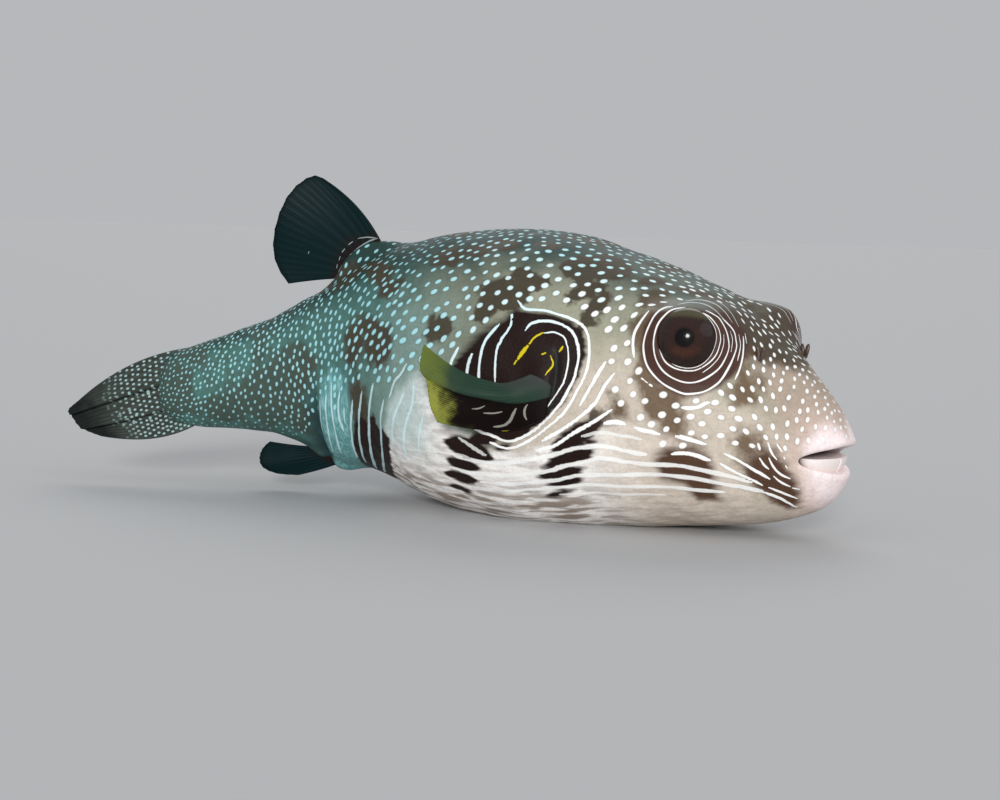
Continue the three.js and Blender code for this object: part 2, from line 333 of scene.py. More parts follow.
def rowDistances():
    distances = [mouth["join"]]
    end = stations[-1, 0]
    wide, close, fade = skinGrid["spacing"], skinGrid["eyeSpacing"], skinGrid["eyeFade"]
    while distances[-1] < end:
        near = smoothStep(distances[-1], skinGrid["eyeFrom"] - fade, skinGrid["eyeFrom"])
        near = near * (1 - smoothStep(distances[-1], skinGrid["eyeTo"], skinGrid["eyeTo"] + fade))
        distances.append(distances[-1] + wide + (close - wide) * near)
    distances[-1] = end
    return np.array(distances)


def frontPlace(y, z):
    # the place among the stations whose section runs through this point of the snout
    low, high = np.zeros_like(y), np.full_like(y, placeAt(mouth["join"]))
    for _ in range(32):
        middle = (low + high) / 2
        outside = roundBody(middle, y, z)[0] > 1
        low, high = np.where(outside, middle, low), np.where(outside, high, middle)
    return (low + high) / 2


def layOutSkin():
    # the skin's points on the straight fish, with the place and angle of each
    angles = columnAngles()
    join = placeAt(mouth["join"])
    slotY = -mouth["halfWidth"] * np.cos(angles)
    slotZ = mouth["height"] + mouth["halfOpening"] * np.sin(angles)
    outer = onBody(np.full_like(angles, join), angles)
    share = np.linspace(0, 1, skinGrid["lipRows"] + 1)[:-1, None] ** skinGrid["lipGathering"]
    y = slotY + (outer[:, 1] - slotY) * share
    z = slotZ + (outer[:, 2] - slotZ) * share
    place = frontPlace(y, z)
    _, angle = roundBody(place, y, z)
    x = -smoothly(stations[:, 0], place)
    fromSlot = np.hypot(y - slotY, z - slotZ)
    lipRound = mouth["lipRound"]
    inward = np.clip(lipRound - fromSlot, 0, lipRound)
    x = x - (lipRound - np.sqrt(lipRound**2 - inward**2))
    lips = np.stack([x, y, z], -1)

    depth = np.linspace(1, 0, skinGrid["pocketRows"] + 1)[:-1, None]
    closing = np.sqrt(1 - depth**4)
    pocket = np.stack([
        x[0] + (-mouth["deep"] - x[0]) * depth,
        slotY * closing,
        mouth["height"] + (slotZ - mouth["height"]) * closing,
    ], -1)

    rows = placeAt(rowDistances())[:, None] * np.ones_like(angles)
    trunk = onBody(rows, np.broadcast_to(angles, rows.shape))
    shrink = np.linspace(1, 0, skinGrid["tailRows"] + 1)[1:, None, None]
    end = trunk[-1].mean(0) - (skinGrid["tailCap"], 0, 0)
    tail = end + (trunk[-1] - end) * shrink
    points = np.concatenate([pocket, lips, trunk, tail])
    pocketPlace = np.broadcast_to(place[0], pocket.shape[:2])
    tailPlace = np.full(tail.shape[:2], len(stations) - 1.0)
    places = np.concatenate([pocketPlace, place, rows, tailPlace])
    pocketAngle = np.broadcast_to(angle[0], pocket.shape[:2])
    allAngles = np.concatenate([
        pocketAngle, angle, np.broadcast_to(angles, rows.shape), np.broadcast_to(angles, tail.shape[:2])
    ])
    inside = np.zeros(points.shape[:2])
    inside[: skinGrid["pocketRows"] + 1] = 1
    return points, places, allAngles, inside


def outwards(points):
    along = np.gradient(points, axis=0)
    wrapped = np.concatenate([points[:, -2:-1], points, points[:, 1:2]], axis=1)
    around = (wrapped[:, 2:] - wrapped[:, :-2]) / 2
    normals = np.cross(around, along)
    return normals / np.maximum(np.linalg.norm(normals, axis=-1, keepdims=True), 1e-9)


def swelling(base, along, across):
    away = (along / base["reach"][0]) ** 2 + (across / base["reach"][1]) ** 2
    return base["height"] * np.exp(-(away ** base["round"]))


def swellBases(points):
    # the fleshy feet of the fins
    base = bulges["pectoral"]
    x, y, z = points[..., 0], points[..., 1], points[..., 2]
    swell = swelling(base, x - base["centre"][0], z - base["centre"][2])
    y = y + np.sign(y) * swell * (np.abs(y) > bulges["sideways"])
    points = np.stack([x, y, z], -1)
    for name in ("dorsal", "anal"):
        base = bulges[name]
        slope, way = math.radians(base["slope"]), math.copysign(1, base["slope"])
        offset = points - np.array(base["centre"])
        along = offset[..., 0] * math.cos(slope) + offset[..., 2] * math.sin(slope)
        up = np.array([-math.sin(slope), 0, math.cos(slope)]) * way
        near = (np.abs(offset[..., 0]) < bulges["within"][0]) & (offset[..., 2] * way > -bulges["within"][1])
        points = points + up * (near * swelling(base, along, offset[..., 1]))[..., None]
    return points


def sideAngle(angles):
    # degrees on the nearer side, so that both sides read alike: 90 is the back and -90 the belly
    turned = np.degrees(angles)
    turned = np.where(turned < -90, turned + 360, turned)
    return np.where(turned > 90, 180 - turned, turned)


folds = {
    "gill": {  # the slit ahead of each pectoral base, with a lip before it
        "distance": 93, "bow": 1.4, "low": -5, "high": 16, "depth": 1.5, "width": 0.75,
        "lip": 0.3, "lipAhead": 2.2, "lipWidth": 1.8,
    },
    "crease": {  # behind the belly, which sags a little before it
        "distance": 219, "lean": -2, "from": -30, "to": 5, "depth": 2.4, "width": 2.3,
        "sag": 1.3, "sagAhead": 7, "sagWidth": 6,
    },
    # the slack of the hide: size, turns along x, y and z, phase
    "slack": [(1, 0.21, 0.13, 0.17, 0), (0.7, -0.33, 0.21, 0.25, 1.3), (0.5, 0.52, -0.4, 0.31, 2.1)],
    "slackHeight": 0.16, "slackFrom": (25, 45), "slackTo": (240, 275),
}


def gillLine(degrees):
    # how far up the slit, from 0 to 1, and how far behind the snout the slit lies there
    slit = folds["gill"]
    height = np.clip((degrees - slit["low"]) / (slit["high"] - slit["low"]), 0, 1)
    return height, slit["distance"] + slit["bow"] * (2 * height - 1) ** 2


def behindCrease(distances, degrees):
    crease = folds["crease"]
    return distances - (crease["distance"] + crease["lean"] * np.clip(-degrees / 90, 0, 1))


def foldSkin(points, distances, degrees):
    slit, crease = folds["gill"], folds["crease"]
    height, line = gillLine(degrees)
    arch = np.sin(math.pi * height)
    cut = slit["depth"] * bell(distances - line, slit["width"]) * arch**0.5
    lip = slit["lip"] * bell(distances - line + slit["lipAhead"], slit["lipWidth"]) * arch
    low = 1 - smoothStep(degrees, crease["from"], crease["to"])
    behind = behindCrease(distances, degrees)
    groove = crease["depth"] * bell(behind, crease["width"])
    sag = crease["sag"] * bell(behind + crease["sagAhead"], crease["sagWidth"])
    x, y, z = np.moveaxis(points, -1, 0)
    waves = sum(size * np.sin(x * a + y * b + z * c + phase) for size, a, b, c, phase in folds["slack"])
    slack = smoothStep(distances, *folds["slackFrom"]) * (1 - smoothStep(distances, *folds["slackTo"]))
    out = lip - cut + low * (sag - groove) + waves * slack * folds["slackHeight"]
    return points + outwards(points) * out[..., None]


def makePiece(name, body):
    data = bpy.data.meshes.new(name)
    body.to_mesh(data)
    body.free()
    for face in data.polygons:
        face.use_smooth = True
    return addObject(name, data)


def makeSheet(name, points):
    # a grid whose vertices are laid on the rows and columns of points, sewn up where they meet
    rows, columns = points.shape[0] - 1, points.shape[1] - 1
    place = posed(points)
    body = bmesh.new()
    bmesh.ops.create_grid(body, x_segments=rows, y_segments=columns, size=0.5)
    uv = body.loops.layers.uv.new("OFBake")
    for face in body.faces:
        for corner in face.loops:
            corner[uv].uv = (corner.vert.co.x + 0.5, corner.vert.co.y + 0.5)
    index = body.verts.layers.int.new("gridIndex")
    for vertex in body.verts:
        row, column = round((vertex.co.x + 0.5) * rows), round((vertex.co.y + 0.5) * columns)
        vertex[index] = row * (columns + 1) + column
        vertex.co = place[row, column]
    bmesh.ops.remove_doubles(body, verts=body.verts, dist=1e-6)
    bmesh.ops.recalc_face_normals(body, faces=body.faces)
    return makePiece(name, body)


def gridIndices(piece):
    index = np.empty(len(piece.data.vertices), np.int32)
    piece.data.attributes["gridIndex"].data.foreach_get("value", index)
    return index


def atVertices(piece, values):
    return values.reshape(-1, *values.shape[2:])[gridIndices(piece)]


def atCorners(piece, values):
    corners = np.empty(len(piece.data.loops), np.int32)
    piece.data.loops.foreach_get("vertex_index", corners)
    return atVertices(piece, values)[corners]


def storeColours(piece, name, values):
    layer = piece.data.attributes.new(name, "FLOAT_COLOR", "POINT")
    layer.data.foreach_set("color", atVertices(piece, values).astype(np.float32).ravel())


def shapeSkin():
    points, places, angles, inside = layOutSkin()
    distances, degrees = smoothly(stations[:, 0], places), sideAngle(angles)
    points = swellBases(sinkSockets(raiseBrow(points)))
    points = foldSkin(points, distances, degrees)
    points[..., 2] = np.maximum(points[..., 2], 0)
    return points, distances, degrees, inside


skinPoints, skinDistances, skinDegrees, skinInside = shapeSkin()
skinNormals = outwards(skinPoints)
skin = makeSheet("skin", skinPoints)
print("skin made,", len(skin.data.polygons), "faces")
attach(skin, "root")
fleshNodes = ["head", "trunk", "tail_stalk", "upper_lip", "lower_lip", "dorsal_base", "anal_base"]
fleshNodes += ["pectoral_base_" + name for name in sides]
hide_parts(*fleshNodes)


# the marks: pale lines and spots, each a stroke laid on the skin

# A place on the hide is (millimetres behind the snout, degrees up from the side). The lines are those of
# the right side, and the left side's run a little differently.
hideLines = [
    # half width, tint, places
    (0.49, "white", [(114, 33.5), (110, 30.6), (101, 31), (90, 29), (84, 24.5), (81.5, 14), (83.1, 4),
        (90, -5.3), (101.5, -13.6), (112.5, -18), (120.5, -15.8)]),
    (0.49, "white", [(107.8, 22), (105, 25.5), (98, 27), (90, 24), (86, 17), (85.6, 9), (88, 1.3), (98, -9),
        (111, -15), (120, -13), (126.5, -11.3)]),
    (0.28, "white", [(100.5, 21.8), (96, 22.4), (92, 20.6), (89.6, 15), (89.2, 8), (91, 1.5), (98.5, -6),
        (108, -10)]),
    (0.36, "yellow", [(110.5, 9), (106.5, 15), (103, 20), (100.5, 21.8)]),
    (0.95, "yellow", [(108.9, 11.2), (107.4, 13.6), (105.8, 16)]),
    (1.35, "yellow", [(107.7, 13.1), (106.8, 14.6)]),
    (0.4, "yellow", [(108, -10), (114.5, -11.3)]),
    (0.55, "yellow", [(92.1, 17), (93, 15)]),
    (0.5, "yellow", [(98.2, 13.8), (99.6, 13.2)]),
    (0.32, "yellow", [(96, 13), (94.6, 9.5), (96.6, 6)]),
    (0.45, "tan", [(103, -1), (107, -6), (113, -8), (120, -9.5)]),
    (0.4, "tan", [(101, -1), (103, -7)]),
    (0.6, "white", [(75, 12.5), (77.4, 7.5), (80, 2), (83.5, -2.6)]),
    (0.6, "white", [(71.5, 8), (73.8, 4.2), (77.7, -1.5), (83.7, -6.3), (91, -11), (98.5, -15)]),
    (0.62, "white", [(71.8, -3.5), (78, -7.4), (86.3, -12), (93.8, -16.8), (101, -18.8)]),
    (0.78, "white", [(74.5, -8.2), (70.2, -7.4), (66.8, -8.2)]),
    (0.7, "white", [(63.2, -9.3), (59.2, -10.2), (55, -11)]),
    (0.7, "white", [(49.5, -11.5), (45, -12), (40, -12.5)]),
    (0.65, "white", [(51.5, -19.5), (46, -18.5), (39, -20)]),
    (0.6, "pale", [(83, -13), (76.2, -11.4), (70, -12.2), (61, -13.5)]),
    (0.78, "cream", [(139, -22.8), (128, -24.2), (116, -24.4), (104, -22.6), (93.3, -20.2), (87.5, -18.2),
        (80, -16.9), (74, -17), (66, -19), (59.8, -20)]),
    (0.78, "cream", [(141, -30), (128, -30.6), (112, -30), (97.6, -27.8), (92, -25.8), (86, -24.3),
        (80.6, -23), (76.6, -21.8), (68, -23.5), (60, -24.6), (50, -25), (40, -26.3), (33, -27.5),
        (27, -30)]),
    (0.78, "cream", [(128, -35), (112, -34.5), (95.8, -32.3), (90, -31), (84.7, -30.2), (60, -30),
        (50, -30.7), (42, -31.8), (36, -33), (30, -34), (24, -37)]),
    (0.7, "cream", [(118, -39), (98, -36.5), (90, -35.6), (80, -35.4), (66, -36.5), (52, -37.5),
        (45, -38.3), (36, -39)]),
    (0.5, "pale", [(96, -40.5), (84, -40), (70, -41), (56, -42.5)]),
    # the strokes that sweep over the chin
    (0.5, "white", [(34.5, -14.5), (30, -17), (27, -19.8), (24, -22.8), (21.3, -26.5)]),
    (0.5, "white", [(36, -20.5), (30, -25.5), (26.6, -28.3), (23.5, -32)]),
    (0.45, "white", [(22, -33.3), (19, -37.5), (16.5, -42.5), (14.2, -48)]),
    (0.5, "white", [(24, -37), (20.5, -42), (18.3, -47.5), (15.5, -60)]),
    (0.42, "white", [(20, -24), (18, -29), (15.5, -33.5)]),
    (0.42, "white", [(21, -11.5), (19.8, -17), (18, -22), (15.2, -26)]),
    (0.42, "white", [(21.3, -2), (20.3, -7), (18.7, -11.5)]),
    (0.4, "white", [(23.7, -13), (22.6, -16.5), (21.2, -19)]),
    (0.7, "white", [(24.3, -4.2), (23.6, -7.2)]),
    (0.45, "white", [(18.7, -1), (17.2, -5)]),
    (0.4, "white", [(15, -35), (12.8, -38)]),
    (0.45, "white", [(16.6, -8.8), (16.4, -10)]),
    (0.4, "white", [(16.2, -15), (15.8, -17)]),
    # upright strokes over the rear of the belly
    (0.55, "blue", [(155.3, 3), (156, -4), (159.5, -13), (161.5, -22), (162, -31)]),
    (0.55, "blue", [(159.5, 9.5), (162.5, 5.5), (166, 1.8), (168.8, -3.5)]),
    (0.6, "blue", [(160.5, -1), (164.7, -9), (168, -18), (169, -26)]),
    (0.45, "blue", [(151, -8), (153.5, -17), (155, -26)]),
    (0.72, "blue", [(173, -5.5), (175.5, -14), (178, -28), (181, -41), (185, -55), (188, -66)]),
    (0.78, "blue", [(181, -1), (183.5, -10), (185.5, -20), (188, -35), (190.3, -52), (192, -66)]),
    (0.65, "blue", [(189.5, -7), (192.3, -20), (194.4, -35), (196, -52), (197, -64)]),
    (0.6, "blue", [(196, -13.5), (198.4, -28), (199.8, -44), (200.5, -60)]),
    (0.6, "blue", [(204, -11), (205, -24), (203.3, -36)]),
    (0.45, "blue", [(201.5, -20), (202, -30)]),
    (0.4, "blue", [(208.3, -6), (208.5, -16), (208, -28), (207.5, -44), (207.5, -58)]),
    (0.4, "blue", [(211, -14), (211.3, -28), (211.5, -46), (212, -62)]),
    (0.4, "blue", [(214.5, -18), (215, -34), (215.5, -52), (215.5, -66)]),
    # bars behind the pectoral fin
    (0.95, "white", [(114.9, 27.6), (114.7, 26.6)]),
    (0.46, "white", [(114.7, 26.5), (114.4, 23), (117, 18), (118.3, 14.3), (118.4, 9.8), (117.8, 3)]),
    (0.95, "white", [(121.6, 21.2), (122.2, 20.4)]),
    (0.58, "white", [(119.3, 23.5), (121.8, 21), (124, 18), (125, 14), (125.2, 9), (125, 3)]),
    (0.8, "white", [(129.3, 12.8), (130.5, 9.5), (131, 5)]),
    (0.68, "white", [(136, 15.5), (138.5, 11.3), (139.5, 7)]),
    (0.7, "pale", [(134.5, -15), (130.8, -16.8), (127, -19), (122.8, -21.5)]),
    (0.6, "pale", [(140.5, -22.5), (134.5, -22.6), (129.5, -23.4)]),
    (0.55, "pale", [(140.5, -30.2), (134, -30.4)]),
]
# The rings round the eye are millimetres forward and up from its middle, square to the way it looks.
eyeLines = [
    (0.5, "white", [(-14.5, 8.7), (-16.8, 5), (-18.7, 1), (-19, -3), (-18, -8)]),
    (0.32, "white", [(-6.3, 11), (-9, 10.2), (-11.6, 7.6), (-13.3, 3.8), (-14.5, -0.5), (-14.7, -4.7),
        (-13.2, -9.8), (-10.3, -13.5), (-6, -16.7), (0, -19), (3.5, -19), (7.4, -18), (10.6, -16),
        (13, -13.5), (14.9, -9.8), (16.3, -6), (17.2, -1.8), (16.8, 1), (15.5, 4.5), (11.5, 8.3)]),
    (0.27, "white", [(-1.7, 11), (-5.8, 9.6), (-8.4, 7), (-10.2, 4), (-11, 0.3), (-11, -3.5), (-9.8, -8),
        (-7.2, -11.7), (-3.6, -14), (0.7, -15.2), (4.7, -14.8), (8.5, -12.8), (12, -9.6), (13.8, -6.2),
        (14.8, -2.3), (14.4, 1), (13.2, 4.3), (10.8, 7.8), (8.6, 9.2), (5.5, 10.5)]),
    (0.22, "white", [(-9, -0.3), (-8.7, -4.5), (-6.5, -8.5), (-3.3, -10.5), (0.5, -11.2), (4.5, -10.7),
        (8.3, -8.2), (10.8, -5), (11.8, -1.3), (11.8, 1.7), (10.6, 4.8), (8, 7.7), (5.2, 9.3)]),
    (0.14, "white", [(-5.7, -8), (-2, -9.9), (2.2, -10.2), (6, -8.8), (9, -5.4), (10.4, -0.8), (10.3, 2.6),
        (8.9, 5.6), (6, 8.6), (2.7, 10)]),
    (0.16, "white", [(12.8, 2.7), (13, -1.2), (12, -5.3), (9.7, -8.7), (6.8, -11.4)]),
    (0.16, "white", [(14.7, 3.9), (15.7, 1), (15.7, -3)]),
    (0.2, "white", [(17.4, 3.3), (18.4, -0.8), (18, -6.3)]),
    (0.32, "white", [(18.8, 3), (19.3, 0), (19.5, -4.3), (19, -8.7), (17.8, -12.8)]),
    (0.2, "white", [(19.2, 4), (20.2, 0.5)]),
    (0.6, "white", [(0.5, -24), (3.3, -24), (6.3, -23.3), (8.4, -22), (10, -21.4)]),
    (0.6, "white", [(-14.5, -15), (-13.6, -15.6)]),
    (0.28, "white", [(-13.6, -15.6), (-11.4, -17)]),
    (0.6, "white", [(-11.4, -17), (-10.5, -17.5)]),
    (0.17, "pale", [(-5, 12), (-1, 13.3), (4, 13), (8.5, 11), (12.5, 7.5)]),
    (0.17, "pale", [(-3, 13.9), (2, 14.8), (7, 13.8), (11.5, 11), (15, 7)]),
    (0.16, "pale", [(0, 15.8), (5, 15.8), (10, 13.8), (14, 10.4), (17, 6)]),
]
# the dark patch that the rings lie on, in the same measures
eyePatch = [
    (-12.6, 7.5), (-14.9, 3), (-15.3, -5), (-13.4, -10.6), (-8.4, -16), (0, -19.6), (6, -19), (12, -15.6),
    (16.5, -11.5), (19.5, -6), (20.3, 0), (18.5, 5), (13, 9), (6, 10.5), (-4, 10.5),
]
tints = {  # strength, yellowness, blueness
    "white": (1, 0, 0), "cream": (0.85, 0, 0), "pale": (0.6, 0, 0),
    "yellow": (1, 1, 0), "tan": (0.45, 0.45, 0), "blue": (0.75, 0, 0.6),
}
strokes = {
    "step": 0.45,  # millimetres from sample to sample
    "reach": 2.4, "candidates": 7,  # millimetres past its edge that a stroke holds, samples tried at a face
    "far": 9.0,  # half measures out, where no stroke shows
    "unevenness": 0.11, "waves": (2.9, 1.3), "taper": 2.2,
    "leftWander": 1.1, "wanderTurns": (9, 7),
    # the rings thin out over this stretch, forward and up from the middle of the eye
    "ringThinning": 0.45, "thinForward": (3, 13), "thinUp": (-11, 0),
}
# spots: place, spacing, half width, length to width, lean from headward towards the back, strength
spotZones = [
    ((7, 8), 3.2, 0.56, 1.5, -40, 0.6), ((9, 30), 3.1, 0.58, 1.8, -65, 0.85),
    ((14, 70), 2.9, 0.46, 1.9, -70, 0.9), ((17, 12), 3.7, 0.76, 1.6, -45, 0.95),
    ((20, 38), 3.3, 0.64, 1.8, -75, 1), ((26, 10), 4.1, 0.84, 1.5, 10, 1),
    ((31, 45), 3.3, 0.58, 1.6, -60, 1), ((33, 0), 4.4, 0.95, 1.4, 40, 1),
    ((45, -8), 4.6, 0.98, 1.25, 20, 1), ((30, 75), 3.4, 0.64, 1.8, -50, 1),
    ((48, 70), 3.6, 0.7, 1.8, -10, 1), ((62, 72), 3.7, 0.7, 1.7, 10, 1), ((66, 5), 4.8, 1.05, 1.2, 40, 1),
    ((70, 40), 4.8, 1.05, 1.45, 65, 1), ((84, 72), 4.1, 0.78, 1.4, 20, 1),
    ((92, 45), 4.7, 1.08, 1.25, 50, 1), ((115, 48), 4.8, 1.12, 1.15, 10, 1),
    ((120, 75), 3.9, 0.74, 1.35, 20, 0.9), ((140, 35), 4.5, 1.0, 1.3, 30, 0.95),
    ((150, 62), 3.9, 0.74, 1.4, 30, 0.9), ((160, 20), 4.5, 0.96, 1.6, 35, 0.9),
    ((178, 15), 4.3, 0.98, 1.7, 35, 0.9), ((178, 75), 3.4, 0.56, 1.6, 25, 0.75),
    ((192, 40), 3.8, 0.8, 1.6, 35, 0.85), ((200, 5), 3.6, 0.78, 1.7, 60, 0.85),
    ((214, 25), 2.8, 0.6, 1.7, 75, 0.8), ((228, 0), 2.4, 0.54, 1.7, 85, 0.78),
    ((240, 50), 2.25, 0.48, 1.7, 60, 0.78), ((245, -25), 2.2, 0.48, 1.7, 75, 0.7),
    ((262, 10), 2.0, 0.42, 1.6, 60, 0.74), ((280, 0), 1.9, 0.36, 1.6, 30, 0.66),
    ((250, -65), 3.1, 0.4, 1.5, 60, 0.4),
]
# the lowest places that carry spots, from snout to tail
spotFloor = [
    (0, 90), (3.5, 60), (6, 12), (11, 0), (14, -3), (22, -6), (30, -9), (38, -9), (45, -16), (57, -16),
    (62, -6), (70, -3), (75, 16), (80, 30), (84, 34), (118, 34), (124, 25), (135, 17), (146, 12), (152, 8),
    (160, 8), (170, 3), (185, 1), (195, -3), (200, -6), (206, -22), (216, -26), (222, -42), (230, -66),
    (290, -80),
]
spots = {
    "seed": 7, "tries": 90000, "zoneReach": 15,
    "widestCell": 2.3,  # a stretched part of the grid stays bare
    "clearance": 0.6, "offRings": 2.2, "crowding": 0.93,
    "turnSpread": 9, "sizes": (0.86, 1.12), "jitter": 0.3,
    "blueFrom": (80, 165),  # millimetres behind the snout over which they turn bluish
}
farSide, hiddenAway = 1000.0, 5000.0  # how far off the chart puts the left side, and points inside the mouth


def millimetresRound(distances):
    # what one degree measures round the body, this far behind the snout
    distances = np.asarray(distances, float)
    top, bottom, half = np.moveaxis(smoothly(stations[:, 1:4], placeAt(distances)), -1, 0)
    return ((top - bottom) / 2 + half) / 2 * math.pi / 180


def flatPlace(distances, degrees):
    return np.stack([distances, degrees * millimetresRound(distances)], -1)


def evenSteps(places, lengths, step):
    # places at even steps along a smooth line through the given ones
    fine = smoothly(places, np.linspace(0, len(places) - 1, 40 * len(places)))
    measure = lengths(fine)
    run = np.concatenate([[0], np.cumsum(np.linalg.norm(np.diff(measure, axis=0), axis=1))])
    at = np.linspace(0, run[-1], max(int(run[-1] / step), 1) + 1)
    return np.stack([np.interp(at, run, column) for column in fine.T], -1)


def treeOf(points):
    tree = KDTree(len(points))
    for number, point in enumerate(points):
        tree.insert(point, number)
    tree.balance()
    return tree


class Strokes:
    # Samples of lines and spots. A row holds a place, the ways along and across, half length and half width,
    # whether it is a line's first or last sample, whether it is a spot, and its tint.
    def __init__(self):
        self.rows = []

    def line(self, points, normals, halfWidth, tint):
        ways = np.gradient(points, axis=0)
        ways /= np.linalg.norm(ways, axis=1, keepdims=True)
        across = np.cross(normals, ways)
        run = np.arange(len(points)) * strokes["step"]
        long, short = strokes["waves"]
        waves = np.sin(run / long + points[0, 0]) + 0.6 * np.sin(run / short + points[0, 1])
        ends = 0.5 + 0.5 * smoothStep(np.minimum(run, run[-1] - run), 0, strokes["taper"])
        widths = (1 + strokes["unevenness"] * waves) * ends * halfWidth
        for number, (point, way, side, half) in enumerate(zip(points, ways, across, widths)):
            first, last = number == 0, number == len(points) - 1
            self.rows.append([*point, *way, *side, half, half, first, last, 0, *tint])

    def spot(self, point, way, side, halfLength, halfWidth, tint):
        self.rows.append([*point, *way, *side, halfLength, halfWidth, 0, 0, 1, *tint])

    def table(self):
        return np.array(self.rows, float)


def offsets(samples, points):
    # how far points lie along and across their samples, in half measures; and in millimetres past the edge
    away = points - samples[..., 0:3]
    along, across = (away * samples[..., 3:6]).sum(-1), (away * samples[..., 6:9]).sum(-1)
    first, last, isSpot = samples[..., 11], samples[..., 12], samples[..., 13]
    ends = np.minimum(along, 0) * first + np.maximum(along, 0) * last
    scaled = np.stack([np.where(isSpot > 0, along, ends) / samples[..., 9], across / samples[..., 10]], -1)
    spotGap = (np.linalg.norm(scaled, axis=-1) - 1) * samples[..., 10]
    slack = np.maximum(np.abs(along) - strokes["step"] / 2, 0)
    return scaled, np.where(isSpot > 0, spotGap, np.hypot(slack, across) - samples[..., 10])


def bestSamples(samples, points):
    tree = treeOf(samples[:, :3])
    found = np.array([[hit[1] for hit in tree.find_n(p, strokes["candidates"])] for p in points])
    _, past = offsets(samples[found], points[:, None])
    best = past.argmin(1)
    pick = np.arange(len(points))
    return found[pick, best], past[pick, best]


def paintStrokes(piece, charts):
    # each chart: the grid's points as the chart sees them, the samples, and which grid points it may mark
    loopStarts = np.empty(len(piece.data.polygons), np.int32)
    loopTotals = np.empty(len(piece.data.polygons), np.int32)
    piece.data.polygons.foreach_get("loop_start", loopStarts)
    piece.data.polygons.foreach_get("loop_total", loopTotals)
    face = np.repeat(np.arange(len(loopStarts)), loopTotals)
    nearest = np.full(len(loopStarts), strokes["reach"])
    uv = np.full((len(face), 2), strokes["far"])
    tint = np.zeros((len(face), 4))
    for points, samples, allowed in charts:
        corners = atCorners(piece, points)
        centres = np.add.reduceat(corners, loopStarts) / loopTotals[:, None]
        use = np.logical_and.reduceat(atCorners(piece, allowed), loopStarts)
        chosen, past = bestSamples(samples, centres[use])
        better = past < nearest[use]
        faces = np.flatnonzero(use)[better]
        nearest[faces] = past[better]
        sampleOf = np.full(len(loopStarts), -1)
        sampleOf[faces] = chosen[better]
        mark = sampleOf[face] >= 0
        here = samples[sampleOf[face[mark]]]
        uv[mark] = np.clip(offsets(here, corners[mark])[0], -strokes["far"], strokes["far"])
        tint[mark, :3] = here[:, 14:17]
    layer = piece.data.uv_layers.new(name="marks", do_init=False)
    layer.data.foreach_set("uv", uv.astype(np.float32).ravel())
    colours = piece.data.attributes.new("markTint", "FLOAT_COLOR", "CORNER")
    colours.data.foreach_set("color", tint.astype(np.float32).ravel())
    piece.data.uv_layers["OFBake"].active = True
    piece.data.uv_layers["OFBake"].active_render = True


def eyeFrame(side):
    # the ways forward and up, square to the eye's facing
    _, facing = eyeAxes(side)
    forward = np.array([1.0, 0, 0]) - facing * facing[0]
    forward /= np.linalg.norm(forward)
    return forward, np.cross(forward, facing) * side


def eyePlane(points, side):
    # millimetres forward and up from the eye's middle
    forward, up = eyeFrame(side)
    offset = points - eyeAxes(side)[0]
    return np.stack([offset @ forward, offset @ up, np.zeros(offset.shape[:-1])], -1)


def nearEye(points, side):
    height, across = roundEye(points, side)
    return (points[..., 1] * side > 0) & (height > -eye["radius"]) & (across < eye["surround"])


flatPoints, flatNormals = skinPoints.reshape(-1, 3), skinNormals.reshape(-1, 3)
outer = skinInside.ravel() == 0
chartPoints = np.concatenate([
    flatPlace(skinDistances.ravel(), skinDegrees.ravel()),
    np.where(flatPoints[:, 1:2] > 0, farSide, 0),
], -1)
chartTree = treeOf(np.where(outer[:, None], chartPoints, hiddenAway))


def onHide(distances, degrees, side):
    # the skin's own points and normals at these places
    sideColumn = np.full((len(distances), 1), farSide * (side > 0))
    wanted = np.concatenate([flatPlace(distances, degrees), sideColumn], -1)
    points, normals = [], []
    for place in wanted:
        hits = chartTree.find_n(place, 4)
        weights = np.array([1 / (hit[2] + 0.02) ** 2 for hit in hits])
        numbers = [hit[1] for hit in hits]
        points.append(weights @ flatPoints[numbers] / weights.sum())
        normals.append(flatNormals[numbers[0]])
    return np.array(points), np.array(normals)


def leftWander(distances):
    # how far the left side's marks stand off the right side's: behind the snout, and in degrees
    along, around = strokes["wanderTurns"]
    return strokes["leftWander"] * np.stack([np.sin(distances / along), np.sin(distances / around + 1)], -1)


def layLines():
    # the samples of the hide's lines, and of each eye's rings
    hide, rings = Strokes(), {}
    for name, side in sides.items():
        for halfWidth, tint, places in hideLines:
            places = np.array(places, float)
            if side > 0:
                places = places + leftWander(places[:, 0])
            even = evenSteps(places, lambda p: flatPlace(p[:, 0], p[:, 1]), strokes["step"])
            points, normals = onHide(even[:, 0], even[:, 1], side)
            smooth = points.copy()
            smooth[1:-1] = (points[:-2] + 2 * points[1:-1] + points[2:]) / 4
            hide.line(smooth, normals, halfWidth, tints[tint])
        rings[name] = Strokes()
        for halfWidth, tint, places in eyeLines:
            even = evenSteps(np.array(places, float), lambda p: p, strokes["step"])
            flat = np.concatenate([even, np.zeros((len(even), 1))], -1)
            forward = smoothStep(even[:, 0], *strokes["thinForward"])
            up = smoothStep(even[:, 1], *strokes["thinUp"])
            widths = halfWidth * (1 - strokes["ringThinning"] * forward * up)
            rings[name].line(flat, np.tile([0, 0, 1.0], (len(flat), 1)), widths, tints[tint])
    return hide, rings


def segmentGap(places, a, b):
    edge, gap = b - a, places - a
    t = np.clip(gap @ edge / (edge @ edge), 0, 1)
    return np.linalg.norm(gap - t[..., None] * edge, axis=-1)


